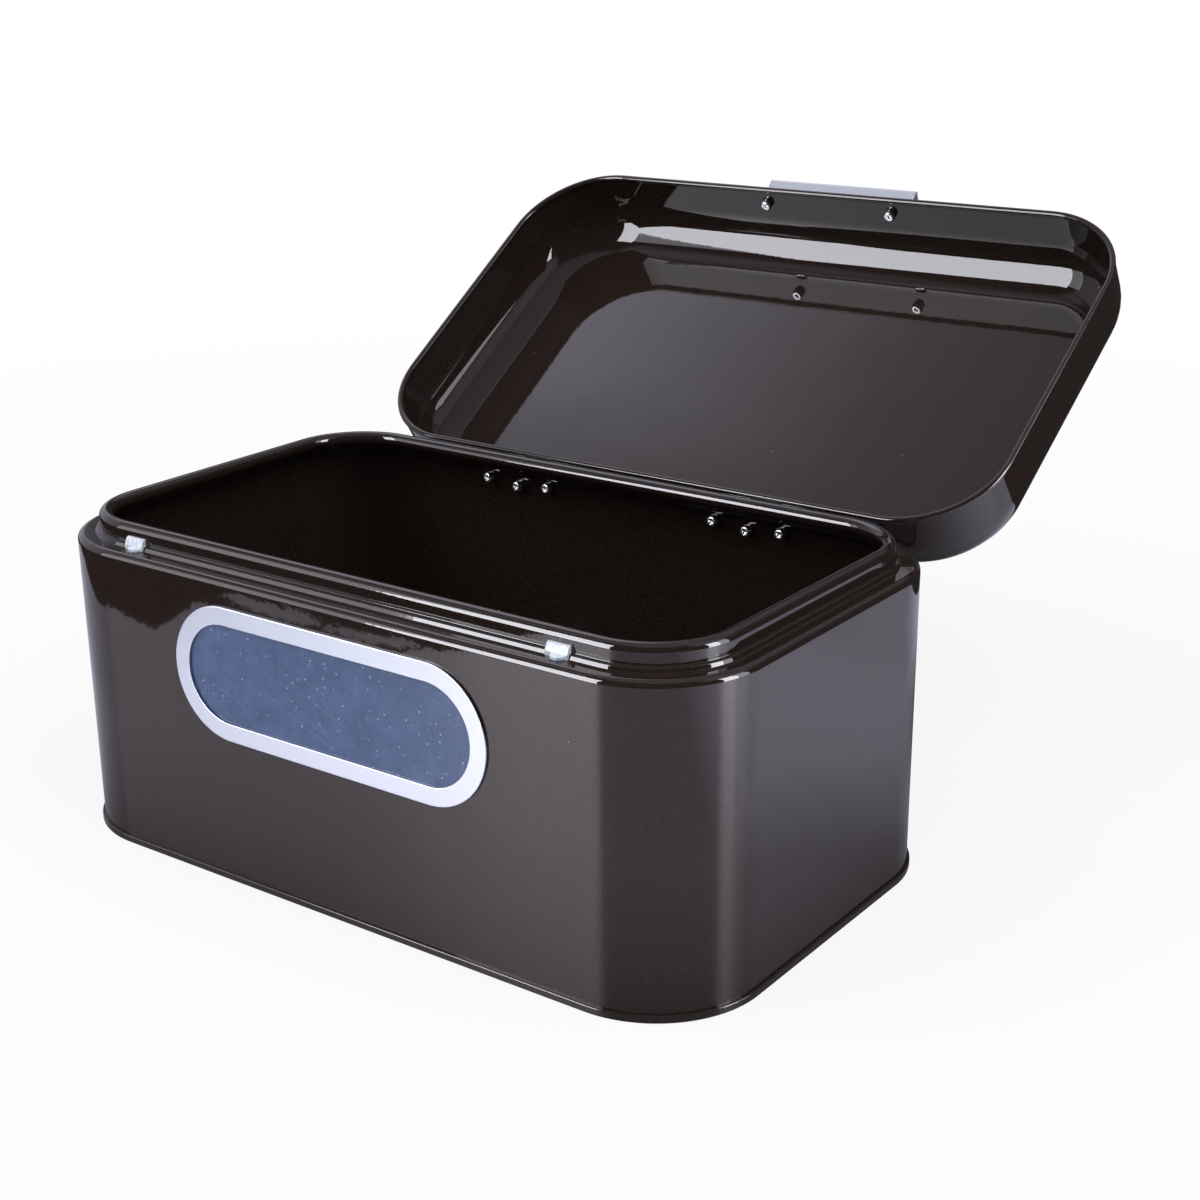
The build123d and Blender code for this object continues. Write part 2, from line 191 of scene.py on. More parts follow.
# %% Path, grid and mesh
def rounded_rectangle(length, width, radius, stations=28, step=3.75):
    """A closed rounded rectangle, anticlockwise from its lower left straight, in mm. Straights
    hold `stations` equal steps, corners one point every `step` degrees. Returns points, outward
    normals and the distance run, which has one more value for the way back to the start."""
    quarters = np.array([(1, -1), (1, 1), (-1, 1), (-1, -1)])
    centres = quarters * (length / 2 - radius, width / 2 - radius)
    points, normals = [], []
    for corner in range(4):
        angles = np.radians(np.arange(-90.0, 0.0, step) + 90.0 * corner)
        outward = np.stack([np.cos(angles), np.sin(angles)], axis=1)
        previous = centres[corner - 1] + radius * outward[0]
        here = centres[corner] + radius * outward[0]
        count = stations if np.linalg.norm(here - previous) > STRAIGHT else 0
        shares = np.arange(count)[:, None] / max(count, 1)
        points += [previous + shares * (here - previous), centres[corner] + radius * outward]
        normals += [np.repeat(outward[:1], count, axis=0), outward]
    points, normals = np.concatenate(points), np.concatenate(normals)
    run = np.linalg.norm(np.diff(points, axis=0, append=points[:1]), axis=1)
    return points, normals, np.concatenate([[0.0], np.cumsum(run)])


def grid_quads(rows, columns, close_rows):
    """Corner numbers of every cell of a grid whose columns close on themselves."""
    row, column = np.meshgrid(
        np.arange(rows if close_rows else rows - 1), np.arange(columns), indexing="ij"
    )
    next_row, next_column = (row + 1) % rows, (column + 1) % columns
    corners = [
        row * columns + column,
        row * columns + next_column,
        next_row * columns + next_column,
        next_row * columns + column,
    ]
    return np.stack(corners, axis=-1).reshape(-1, 4)


def grid_uv(quads, columns, rows, up, along):
    """UV of every quad corner, in metres: u up the section, v along the path. A closing cell
    takes the extra value at the end of each list instead of going back to the start."""
    row, column = quads // columns, quads % columns
    row = np.where((row == 0) & (row.max(axis=1, keepdims=True) == rows - 1), rows, row)
    closing = column.max(axis=1, keepdims=True) == columns - 1
    column = np.where((column == 0) & closing, columns, column)
    uv = np.stack([up[np.minimum(row, len(up) - 1)], along[column]], axis=-1)
    return uv.reshape(-1, 2) * MM


def mesh_piece(name, points, faces, normals=None, uv=None):
    """Links a smooth mesh. Exact normals go in per vertex, and the UV map is named sheet."""
    mesh = bpy.data.meshes.new(name)
    mesh.from_pydata(points.tolist(), [], faces)
    mesh.polygons.foreach_set("use_smooth", np.ones(len(mesh.polygons), bool))
    if uv is not None:
        layer = mesh.uv_layers.new(name="sheet")
        layer.data.foreach_set("uv", uv.astype(np.float32).ravel())
    mesh.update()
    if normals is not None:
        mesh.normals_split_custom_set_from_vertices(normals.tolist())
    piece = bpy.data.objects.new(name, mesh)
    bpy.context.scene.collection.objects.link(piece)
    print(f"{name}: {len(points)} points, {len(faces)} faces")
    return piece


print("a rounded square's path has", len(rounded_rectangle(60, 60, 10)[0]), "points")

# %% Where the sections stand in space
pin = next(joint for joint in frame["joints"] if joint["name"] == "lid_hinge")
OPEN_ANGLE = math.radians(pin["range_deg"][1])
PIN = np.array(pin["pos_m"])
body_low, body_high = (np.array(corner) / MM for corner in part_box("body_shell"))
lid_low, lid_high = (np.array(corner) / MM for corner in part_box("lid_shell"))

BODY_LENGTH, BODY_DEPTH = body_high[:2] - body_low[:2]
BACK_Y = BODY_DEPTH / 2
CORNER = 44.5
SHEET = 0.7  # thickness of the wall's and the lid's steel
LID_LENGTH = lid_high[0] - lid_low[0]
LID_DEPTH, LID_CORNER = 194.4, 44.4
SHUT_RIM = np.array((0.0, BACK_Y + 0.08, 131.3))  # hinge side of the rim with the lid shut


def place(origin, x, y, z):
    """A frame of reference: its origin in mm and its three directions."""
    return np.array(origin, float) * MM, np.array([x, y, z], float)


body_place = place((0, 0, 0), (1, 0, 0), (0, 1, 0), (0, 0, 1))
swing = np.array(Matrix.Rotation(-OPEN_ANGLE, 3, "X"))
lid_across = swing @ np.array((0.0, -1.0, 0.0))
lid_outwards = swing @ np.array((0.0, 0.0, -1.0))
lid_corner_place = PIN + swing @ (SHUT_RIM * MM - PIN)
lid_middle = lid_corner_place / MM + lid_across * LID_DEPTH / 2
lid_place = place(lid_middle, (1, 0, 0), lid_across, lid_outwards)
print("lid turned to", np.round(lid_across, 3).tolist())


def to_space(local, where):
    """Points in mm in a frame of reference, as points in metres in the room."""
    origin, axes = where
    return origin + (local * MM) @ axes


def carry(section, section_normals, path, where):
    """Carries a section (inset, height) round a path: point p - inset * n, lifted by height,
    and the section's normals turned along with the path's outward normals n."""
    points, outward, _ = path
    inset, height = section.T
    level = points[None] - inset[:, None, None] * outward[None]
    heights = np.broadcast_to(height[:, None, None], level.shape[:2] + (1,))
    sideways = -section_normals[:, :1, None] * outward[None]
    upright = np.broadcast_to(section_normals[:, 1:, None], level.shape[:2] + (1,))
    normals = np.concatenate([sideways, upright], axis=-1) @ where[1]
    return to_space(np.concatenate([level, heights], axis=-1), where), normals


def line_length(section, close):
    """Distance run along a section, in mm, with one more value if it closes."""
    ahead_points = section[1:] if not close else np.roll(section, -1, axis=0)
    run = np.linalg.norm(ahead_points - section[: len(ahead_points)], axis=1)
    return np.concatenate([[0.0], np.cumsum(run)])


def swept_ring(name, section, section_normals, path, where):
    """A closed section carried round a closed path: a ring with no ends."""
    points, normals = carry(section, section_normals, path, where)
    rows, columns = points.shape[:2]
    quads = grid_quads(rows, columns, True)
    uv = grid_uv(quads, columns, rows, line_length(section, True), path[2])
    return mesh_piece(name, points.reshape(-1, 3), quads.tolist(), normals.reshape(-1, 3), uv)


print("hinge pin at", np.round(PIN, 4).tolist(), "opens to", round(math.degrees(OPEN_ANGLE), 1))

# %% [markdown]
# ## The body wall
# The wall is one strip of sheet. From the foot it runs straight up, bends over a shoulder, runs
# in along a ledge, goes up a small bead that leans in, then up a neck, and is rolled inwards and
# down, so that no raw edge can scratch a hand. The leaning bead catches the lamps as one broad
# line. A stadium-shaped hole in the front takes the window: the grid's cells around the hole are
# left out, and a flat collar of cells is laid from there to the hole's edge.

# %% The wall's section and grid
WINDOW_MIDDLE = (-1.5, 91.5)
HOLE_LENGTH, HOLE_HEIGHT = 150.6, 47.6  # hidden under the window ring
HOLE_ROWS = 7  # rows of cells that the hole takes out, over its whole height
HOLE_COLUMNS = (4, 24)
WALL_LEVELS = [22.0, 43.0, *np.linspace(64.0, 119.0, HOLE_ROWS + 1)]
FOOT, LEDGE, BEAD_TOP, MOUTH = 1.25, 130.8, 132.6, 137.2
BEAD_FOOT_INSET, BEAD_INSET, NECK_INSET = 7.5, 8.2, 9.5
WALL_BENDS = [2.9, 0.2, 0.85, 0.4]  # shoulder, foot and top of the bead, foot of the neck
ROLL_RADIUS, ROLL_TURN = 3.1, -235.0

rise, rise_normals = bent_line(
    [
        (0, FOOT), *[(0, level) for level in WALL_LEVELS], (0, LEDGE),
        (BEAD_FOOT_INSET, LEDGE), (BEAD_INSET, BEAD_TOP), (NECK_INSET, BEAD_TOP),
        (NECK_INSET, MOUTH),
    ],
    [*[0] * len(WALL_LEVELS), *WALL_BENDS],
)
roll, roll_headings = arc_from(rise[-1], np.array((0.0, 1.0)), ROLL_RADIUS, ROLL_TURN)
wall_line = np.concatenate([rise, roll[1:]])
wall_normals = np.concatenate([rise_normals, left_of(roll_headings)[1:]])
wall_section, wall_section_normals = both_faces(wall_line, wall_normals, SHEET)
wall_path = rounded_rectangle(BODY_LENGTH, BODY_DEPTH, CORNER)
print(len(wall_section), "points in the section,", len(wall_path[0]), "along the wall")

# %% [markdown]
# The hole's edge has one point for each point on the border of the cells that were left out. It
# lies on the stadium, on the ray from the window's middle through that border point. A ray at
# direction (a, b) meets the straight sides at r/|b|, and beyond them the round ends at the root
# of |t (a, b) - c| = r, with c the middle of the end.

# %% The window hole
hole_middle = np.array((WINDOW_MIDDLE[0], 0, WINDOW_MIDDLE[1])) * MM


def stadium_edge(towards, length, height):
    """Points where rays from the middle of a stadium in the given directions leave it."""
    radius, reach = height / 2, (length - height) / 2
    a, b = np.abs(towards).T
    straight = radius / np.maximum(b, 1e-9)
    along = a * reach
    norm = a * a + b * b
    round_end = (along + np.sqrt(along**2 - norm * (reach**2 - radius**2))) / norm
    return towards * np.where(a * straight <= reach, straight, round_end)[:, None]


def border(rows, columns):
    """Row and column of every point round a block of cells, anticlockwise from lower left."""
    (r0, r1), (c0, c1) = rows, columns
    side = [
        [(r0, c) for c in range(c0, c1)],
        [(r, c1) for r in range(r0, r1)],
        [(r1, c) for c in range(c1, c0, -1)],
        [(r, c0) for r in range(r1, r0, -1)],
    ]
    return np.array(sum(side, []))


def hole_edge(points, columns, first_row):
    """Round one face's hole: the numbers of the points on the border of the cells left out, and
    the points of the hole's edge on the rays through them."""
    loop = border((first_row, first_row + HOLE_ROWS), HOLE_COLUMNS) @ (columns, 1)
    towards = (points[loop] - hole_middle)[:, [0, 2]]
    towards /= np.linalg.norm(towards, axis=1)[:, None]
    edge = stadium_edge(towards, HOLE_LENGTH * MM, HOLE_HEIGHT * MM)
    return loop, np.stack([edge[:, 0], points[loop, 1], edge[:, 1]], axis=1) + hole_middle


def body_wall():
    """The wall's ring, with the window block cut out of both faces. Each face gets cells from
    the block's border to the hole, and one more strip of cells runs through the sheet."""
    points, normals = carry(wall_section, wall_section_normals, wall_path, body_place)
    rows, columns = points.shape[:2]
    quads = grid_quads(rows, columns, True)
    uv = grid_uv(quads, columns, rows, line_length(wall_section, True), wall_path[2])
    uv = uv.reshape(-1, 4, 2)
    points, normals = points.reshape(-1, 3), normals.reshape(-1, 3)

    front_first = len(WALL_LEVELS) - HOLE_ROWS
    back_first = rows - RIM_ROWS - 1 - (front_first + HOLE_ROWS)
    row, column = quads[:, 0] // columns, quads[:, 0] % columns
    keep = np.ones(len(quads), bool)
    strips, spans, turns = [], [], []
    for first in (front_first, back_first):
        in_rows = (row >= first) & (row < first + HOLE_ROWS)
        keep &= ~(in_rows & (column >= HOLE_COLUMNS[0]) & (column < HOLE_COLUMNS[1]))
        loop, edge = hole_edge(points, columns, first)
        span = len(points) + np.arange(len(edge))
        strips.append(np.stack([loop, np.roll(loop, -1), np.roll(span, -1), span], axis=1))
        spans.append(span)
        turns.append(np.argsort(np.arctan2(*(edge - hole_middle)[:, [2, 0]].T)))
        points = np.concatenate([points, edge])
        normals = np.concatenate([normals, normals[loop]])

    # The edge's points on the two faces are paired by their direction from the window's middle.
    front, back = spans[0], np.empty_like(spans[1])
    back[turns[0]] = spans[1][turns[1]]
    strips.append(np.stack([front, np.roll(front, -1), np.roll(back, -1), back], axis=1))
    extra = np.concatenate(strips)
    faces = np.concatenate([quads[keep], extra])
    uv = np.concatenate([uv[keep], points[extra][:, :, [2, 0]]]).reshape(-1, 2)
    return mesh_piece("wall", points, faces.tolist(), normals, uv)


wall = body_wall()
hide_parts("body_shell")
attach(wall, "body")

# %% [markdown]
# ## Floor pan and lid
# Both are skins that close on themselves: the section starts in the middle of one flat side,
# goes over the edge and comes back along the other side. The two flat middles are one face
# each, so a closed skin is a grid with a lid on either end. The bin's lid is drawn from one
# blank, with a large even radius where its skirt meets its plate, and a tight bead at its rim.

# %% Closed skins
def closed_skin(name, section, section_normals, path, where):
    """An open section carried round a closed path, with a flat face across each end."""
    points, normals = carry(section, section_normals, path, where)
    rows, columns = points.shape[:2]
    quads = grid_quads(rows, columns, False)
    uv = grid_uv(quads, columns, rows, line_length(section, False), path[2])
    first = np.arange(columns)[::-1]
    last = (rows - 1) * columns + np.arange(columns)
    plan = path[0] * MM
    faces = [*quads.tolist(), first.tolist(), last.tolist()]
    uv = np.concatenate([uv, plan[first], plan])
    return mesh_piece(name, points.reshape(-1, 3), faces, normals.reshape(-1, 3), uv)


PAN_LOW, PAN_HIGH = 3.4, 4.1  # the two faces of the floor
PAN_INSET = 4  # where the flat floor begins
SEAM_OUT, SEAM_IN, SEAM_TOP = -1.2, 1.4, 3.2  # an inset below nought stands proud of the wall
SHEET_MIDDLE = 0.35
pan_line, pan_normals = bent_line(
    [
        (PAN_INSET, PAN_LOW), (SEAM_IN, PAN_LOW), (SEAM_IN, 0), (SEAM_OUT, 0),
        (SEAM_OUT, SEAM_TOP), (SHEET_MIDDLE, SEAM_TOP), (SHEET_MIDDLE, PAN_HIGH),
        (PAN_INSET, PAN_HIGH),
    ],
    [0.3, 0.7, 0.7, 0.55, 0.1, 0.1],
)
pan = closed_skin("floor_pan", pan_line, pan_normals, wall_path, body_place)
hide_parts("base_pan")
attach(pan, "body")

# %% The lid
EDGE_RADIUS = 22.3
PLATE_HEIGHT = -41.2  # below the rim, in the lid's own frame
PLATE_INSET = 26  # where the flat plate begins
BEAD = 1.5
SKIRT = 0.5
OUTER_FILLET, INNER_FILLET = 0.5, 0.3  # where the bead meets the skirt
BANDS = (-14, -8)  # two more rows on the skirt, so that no cell is long and thin


def lid_section():
    """Outer plate, edge and skirt, then the bead between two small fillets, then the inside.
    A fillet f touches the skirt and the bead r where (r - s + f)^2 + d^2 = (r + f)^2."""
    drop = math.sqrt((BEAD + OUTER_FILLET) ** 2 - (BEAD - SKIRT + OUTER_FILLET) ** 2)
    bend = math.degrees(math.atan2(drop, BEAD - SKIRT + OUTER_FILLET))
    outside, outside_normals = bent_line(
        [
            (PLATE_INSET, PLATE_HEIGHT), (SKIRT, PLATE_HEIGHT),
            *[(SKIRT, band) for band in BANDS], (SKIRT, -BEAD - drop),
        ],
        [EDGE_RADIUS, 0, 0],
    )
    start, heading = outside[-1], np.array((0.0, 1.0))
    parts, normals = [outside], [outside_normals]
    for radius, sweep in ((OUTER_FILLET, bend), (BEAD, -270.0 - bend), (INNER_FILLET, 90.0)):
        arc, headings = arc_from(start, heading, radius, sweep, step=10)
        start, heading = arc[-1], headings[-1]
        parts.append(arc[1:])
        normals.append(left_of(headings)[1:])
    inner, plate = SKIRT + SHEET, PLATE_HEIGHT + SHEET
    inside, inside_normals = bent_line(
        [
            (inner, start[1]), *[(inner, band) for band in BANDS[::-1]],
            (inner, plate), (PLATE_INSET, plate),
        ],
        [0, 0, EDGE_RADIUS - SHEET],
    )
    print("bead ends at", np.round(start, 2).tolist(), "inner skirt at", inner)
    parts.append(inside[1:])
    normals.append(inside_normals[1:])
    return np.concatenate(parts), np.concatenate(normals)


lid_path = rounded_rectangle(LID_LENGTH, LID_DEPTH, LID_CORNER, step=2.5)
lid = closed_skin("lid", *lid_section(), lid_path, lid_place)
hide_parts("lid_shell")
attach(lid, "lid")

# %% [markdown]
# ## Window
# A flat ring of anodised aluminium holds the pane in the wall, and a steel ring is pressed on
# from inside. All of them are sections carried round a stadium, which is a rounded rectangle
# whose corners are as large as half its height.

# %% Ring, pane and clamp
window_corner = (WINDOW_MIDDLE[0], -BACK_Y, WINDOW_MIDDLE[1])
window_place = place(window_corner, (1, 0, 0), (0, 0, 1), (0, -1, 0))
RING_LENGTH, RING_HEIGHT, RING_WIDTH, RING_SHEET = 160.0, 57.0, 7.7, 1.0
COLLAR_OUT, COLLAR_IN = 5.7, 6.6  # insets of the two faces of the ring's collar
COLLAR_REACH = -2.6  # how far it goes through the wall
CLAMP_EDGE, CLAMP_STEP = 0.7, 4.2  # insets of its outer edge and of the step in its back
CLAMP_BACK, STEP_BACK = -1.5, -3.3


def closed_line(corners, radii):
    """A closed section through corners: it starts and ends halfway along its last side."""
    corners = np.array(corners, float)
    halfway = (corners[0] + corners[-1]) / 2
    points, normals = bent_line([halfway, *corners, halfway], radii)
    return points[:-1], normals[:-1]


ring_path = rounded_rectangle(RING_LENGTH, RING_HEIGHT, RING_HEIGHT / 2)
ring_section = closed_line(
    [
        (0, 0), (0, RING_SHEET), (RING_WIDTH, RING_SHEET), (RING_WIDTH, 0),
        (COLLAR_IN, 0), (COLLAR_IN, COLLAR_REACH), (COLLAR_OUT, COLLAR_REACH), (COLLAR_OUT, 0),
    ],
    [0.05, 0.4, 0.25, 0.05, 0.05, 0.1, 0.1, 0.05],
)
ring = swept_ring("window_ring", *ring_section, ring_path, window_place)
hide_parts("window_bezel")
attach(ring, "body")

clamp_section = closed_line(
    [
        (CLAMP_EDGE, -SHEET), (COLLAR_OUT, -SHEET), (COLLAR_OUT, COLLAR_REACH),
        (RING_WIDTH, COLLAR_REACH), (RING_WIDTH, STEP_BACK), (CLAMP_STEP, STEP_BACK),
        (CLAMP_STEP, CLAMP_BACK), (CLAMP_EDGE, CLAMP_BACK),
    ],
    [0.2, 0.05, 0.05, 0.2, 0.2, 0.5, 0.3, 0.3],
)
clamp = swept_ring("window_clamp_ring", *clamp_section, ring_path, window_place)
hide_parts("window_clamp")
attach(clamp, "body")

PANE_LENGTH, PANE_HEIGHT, PANE_THICKNESS = 146.6, 43.6, 1.5
pane_path = rounded_rectangle(PANE_LENGTH, PANE_HEIGHT, PANE_HEIGHT / 2)
pane_section = bent_line(
    [(4, -PANE_THICKNESS), (0, -PANE_THICKNESS), (0, 0), (4, 0)], [0.1, 0.1]
)
pane = closed_skin("pane", *pane_section, pane_path, window_place)
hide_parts("window_pane")
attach(pane, "body")

# %% [markdown]
# ## Handle
# The handle is one strip of stainless steel: a foot on the lid's skirt, a shelf that slopes out,
# and a lip turned back under it. The section is carried straight along the lid. Its ends are
# sheared square, so a bevel of a tenth of a millimetre takes off the burr.

# %% The handle strip
HANDLE_LENGTH, HANDLE_SHEET = 82.4, 1.0
HANDLE_LINE = [(0, -5.2), (0, -15.4), (16, -10.4), (14.4, -16.6)]  # from the skirt outwards
HANDLE_BENDS = [1.8, 0.5]
HANDLE_COLUMNS = 25


def handle_strip():
    """Both faces of the bent strip, carried from one end of the handle to the other."""
    skirt = np.array((LID_DEPTH - SKIRT, 0))
    line, normals = bent_line(HANDLE_LINE + skirt, HANDLE_BENDS)
    section, _ = both_faces(line + normals * HANDLE_SHEET, normals, HANDLE_SHEET)
    stations = np.linspace(-HANDLE_LENGTH / 2, HANDLE_LENGTH / 2, HANDLE_COLUMNS)
    grid = np.empty((len(stations), len(section), 3))
    grid[..., 0] = stations[:, None]
    grid[..., 1:] = section - (LID_DEPTH / 2, 0)
    points = to_space(grid.reshape(-1, 3), lid_place)
    rows, columns = grid.shape[:2]
    quads = grid_quads(rows, columns, False)[:, ::-1]
    first, last = np.arange(columns), (rows - 1) * columns + np.arange(columns)
    faces = [*quads.tolist(), first.tolist(), last[::-1].tolist()]
    flat = grid.reshape(-1, 3)[:, [0, 2]] * MM
    corner_numbers = np.concatenate([quads.ravel(), first, last[::-1]])
    return mesh_piece("handle_strip", points, faces, uv=flat[corner_numbers])


def apply_modifiers(piece):
    """Puts the result of a piece's modifiers into its mesh."""
    bpy.context.view_layer.update()
    shaped = piece.evaluated_get(bpy.context.evaluated_depsgraph_get())
    mesh = bpy.data.meshes.new_from_object(shaped)
    piece.modifiers.clear()
    piece.data = mesh


def finish_edges(piece, width, degrees):
    """Bevels the sharp edges of a piece, keeps its flats flat, and applies both."""
    bevel = piece.modifiers.new("burr", "BEVEL")
    bevel.width, bevel.segments = width * MM, 2
    bevel.limit_method, bevel.angle_limit = "ANGLE", math.radians(degrees)
    bevel.harden_normals = True
    apply_modifiers(piece)


handle = handle_strip()
finish_edges(handle, width=0.12, degrees=60)
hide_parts("lid_handle")
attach(handle, "lid")

# %% [markdown]
# ## Rivets
# A blind rivet is a tube with a domed head. A steel mandrel is pulled through it from the head's
# side until the tail swells behind the sheet, and then it snaps off inside. So the head has a
# small hole in its middle, and the tail is a bright bulb with a dark recess. A rivet is turned:
# its profile, in radius and height, is carried round its own axis.

# %% Turned parts
def turned(name, profile, where, steps=32):
    """A closed turned part: point (row, column) is (r cos a, r sin a, z), with one point at each
    pole. The profile starts and ends on the axis and runs with the part on its right."""
    profile = np.array(profile, float)
    angles = np.linspace(0, 2 * math.pi, steps, endpoint=False)
    rings = profile[1:-1]
    grid = np.empty((len(rings), steps, 3))
    grid[..., 0] = rings[:, :1] * np.cos(angles)
    grid[..., 1] = rings[:, :1] * np.sin(angles)
    grid[..., 2] = rings[:, 1:]
    poles = np.array([(0, 0, profile[0, 1]), (0, 0, profile[-1, 1])])
    points = to_space(np.concatenate([grid.reshape(-1, 3), poles]), where)
    quads = grid_quads(len(rings), steps, False)
    around, ahead_column = np.arange(steps), (np.arange(steps) + 1) % steps
    base = (len(rings) - 1) * steps
    pole = len(rings) * steps
    fans = [
        np.stack([np.full(steps, pole), ahead_column, around], axis=1),
        np.stack([np.full(steps, pole + 1), base + around, base + ahead_column], axis=1),
    ]
    faces = [*quads.tolist(), *fans[0].tolist(), *fans[1].tolist()]
    return mesh_piece(name, points, faces)


HEAD_RADIUS, HEAD_HEIGHT, SHANK_RADIUS = 2.9, 1.1, 1.6
RIVET_BENDS = [0.2, 0.12, 0.7, 0.2, 0.05, 0.05, 0.15, 0.4, 0.8, 0.6, 0.2, 0.2]
LEAF = 0.8  # thickness of a hinge leaf


def rivet_profile(grip, swell, tail):
    """Head with the mandrel's hole, shank, and a tail that the mandrel swelled into a short
    hollow dome. grip is the thickness of what it holds, swell the tail's radius, and tail how
    far the tail stands out of the sheets."""
    back = -grip - tail
    hole = [(0, -0.5), (0.75, -0.5), (0.85, 1.05)]
    head = [(1.5, 1.05), (HEAD_RADIUS, 0.42), (HEAD_RADIUS, 0)]
    shank = [(SHANK_RADIUS, 0), (SHANK_RADIUS, -grip - 0.1)]
    dome = [(swell - 0.15, -grip - 0.3), (swell, back + 0.5 * tail), (swell - 0.5, back)]
    recess = [(1.15, back), (1.0, back + 0.9), (0, back + 1.1)]
    line, _ = bent_line([*hole, *head, *shank, *dome, *recess], RIVET_BENDS)
    return line


def auto_smooth(piece, degrees):
    """Smooth shading with crisp edges where the surface turns by more than some degrees."""
    shape = bmesh.new()
    shape.from_mesh(piece.data)
    for edge in shape.edges:
        edge.smooth = edge.calc_face_angle(0.0) < math.radians(degrees)
    shape.to_mesh(piece.data)
    shape.free()


def set_rivets(prefix, outwards, shape, body):
    """Puts a turned rivet in place of every CAD rivet whose name starts with prefix. It stands
    on the middle of the CAD rivet's reach across its axis, one head height under its top.
    shape is the profile's grip, swell and tail."""
    outwards, sideways = np.array(outwards, float), np.array((1.0, 0.0, 0.0))
    axes = np.array([sideways, np.cross(outwards, sideways), outwards])
    for node in sorted(name for name in frame["nodes"] if name.startswith(prefix)):
        mesh = frame["nodes"][node].data
        points = np.empty(len(mesh.vertices) * 3)
        mesh.vertices.foreach_get("co", points)
        reach = points.reshape(-1, 3) / MM @ axes.T
        seat = (reach.max(axis=0) + reach.min(axis=0)) / 2
        seat[2] = reach[:, 2].max() - HEAD_HEIGHT
        rivet = turned(f"{node}_set", rivet_profile(*shape), (seat @ axes * MM, axes))
        auto_smooth(rivet, degrees=40)
        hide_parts(node)
        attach(rivet, body)


set_rivets("body_rivet", (0, 1, 0), (LEAF + SHEET, 2.6, 4.2), "body")
set_rivets("lid_rivet", -lid_across, (LEAF + SHEET, 2.5, 1.6), "lid")
set_rivets("handle_rivet", lid_across, (HANDLE_SHEET + SHEET, 2.9, 3.0), "lid")

# %% [markdown]
# ## Hinges
# The leaves are stamped from zinc-plated steel, curled round a pin, and the lid's leaf has a
# tongue that stops the lid when it is open. Their CAD shapes are right, so copies of them are
# only merged and given smooth shading on their curls.

# %% Hinge leaves and pins
MERGE_DISTANCE = 1e-6  # metres
CREASE = 30  # degrees


def smoothed_copy(node, name):
    """A CAD node's mesh with its loose triangles merged and its curves shaded smooth."""
    mesh = frame["nodes"][node].data.copy()
    mesh.name = name
    shape = bmesh.new()
    shape.from_mesh(mesh)
    bmesh.ops.remove_doubles(shape, verts=shape.verts, dist=MERGE_DISTANCE)
    shape.to_mesh(mesh)
    shape.free()
    mesh.materials.clear()
    piece = bpy.data.objects.new(name, mesh)
    bpy.context.scene.collection.objects.link(piece)
    mesh.polygons.foreach_set("use_smooth", np.ones(len(mesh.polygons), bool))
    mesh.set_sharp_from_angle(angle=math.radians(CREASE))
    return piece


hinge_parts = []
for side in ("left", "right"):
    for part, body in (("body_leaf", "body"), ("lid_leaf", "lid"), ("pin", "body")):
        node = f"hinge_{side}_{part}"
        copy = smoothed_copy(node, f"{node}_plated")
        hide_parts(node)
        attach(copy, body)
        hinge_parts.append(copy)
print(len(hinge_parts), "hinge parts")

# %% [markdown]
# ## Silicone bumpers
# Two soft pads sit on the bead and keep the lid from ringing on the wall. Each is a small
# moulding with a round lobe in front. The CAD solid has the right form and sharp edges. A voxel
# remesh turns it into one even skin, shaded smooth, whose edges are soft as a mould leaves them.

# %% Bumpers
SKIN_CELL = 0.2  # mm
bumpers = []
for side in ("left", "right"):
    node = f"bumper_{side}"
    bumper = smoothed_copy(node, f"{node}_moulded")
    remesh = bumper.modifiers.new("skin", "REMESH")
    remesh.mode, remesh.voxel_size, remesh.use_smooth_shade = "VOXEL", SKIN_CELL * MM, True
    apply_modifiers(bumper)
    bumper.data.name = bumper.name
    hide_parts(node)
    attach(bumper, "body")
    bumpers.append(bumper)
    print(bumper.name, len(bumper.data.vertices), "points")

# %% [markdown]
# ## Nodes
# Every finish below is a small net of shader nodes. Colours are written as sRGB hex values, as
# in a paint program, and one function turns them into the linear values that light works with.

# %% Colour and node helpers
def linear(hex_colour):
    """sRGB hex to linear: c/12.92 below 0.04045, and ((c + 0.055)/1.055)^2.4 above."""
    srgb = np.array([int(hex_colour[i : i + 2], 16) for i in (1, 3, 5)]) / 255
    low, high = srgb / 12.92, ((srgb + 0.055) / 1.055) ** 2.4
    return (*np.where(srgb <= 0.04045, low, high).tolist(), 1.0)


def add(tree, kind, inputs=(), stops=(), **settings):
    """Adds a node. Its inputs are a list in the order of its sockets, or a dictionary by their
    names, and each is a value, a socket, or a node whose first output counts. Stops are a
    colour ramp's positions and colours, from low to high. Settings are its own properties."""
    node = tree.nodes.new("ShaderNode" + kind)
    for name, value in settings.items():
        setattr(node, name, value)
    for name, value in inputs.items() if isinstance(inputs, dict) else enumerate(inputs):
        source = value.outputs[0] if isinstance(value, bpy.types.Node) else value
        if isinstance(source, bpy.types.NodeSocket):
            tree.links.new(source, node.inputs[name])
        else:
            node.inputs[name].default_value = source
    for number, (position, colour) in enumerate(stops):
        elements = node.color_ramp.elements
        stop = elements[number] if number < len(elements) else elements.new(1.0)
        stop.position, stop.color = position, colour
    return node


def new_material(name):
    """An empty material and its node tree."""
    material = bpy.data.materials.new(name)
    material.use_nodes = True
    material.node_tree.nodes.clear()
    return material, material.node_tree


def place_on_piece(tree):
    """Object coordinates in metres, which every pattern starts from."""
    return add(tree, "TexCoord").outputs["Object"]


def surfaced(material, shader):
    """Joins the last shader to the material's output, and hands the material back."""
    add(material.node_tree, "OutputMaterial", {"Surface": shader})
    return material


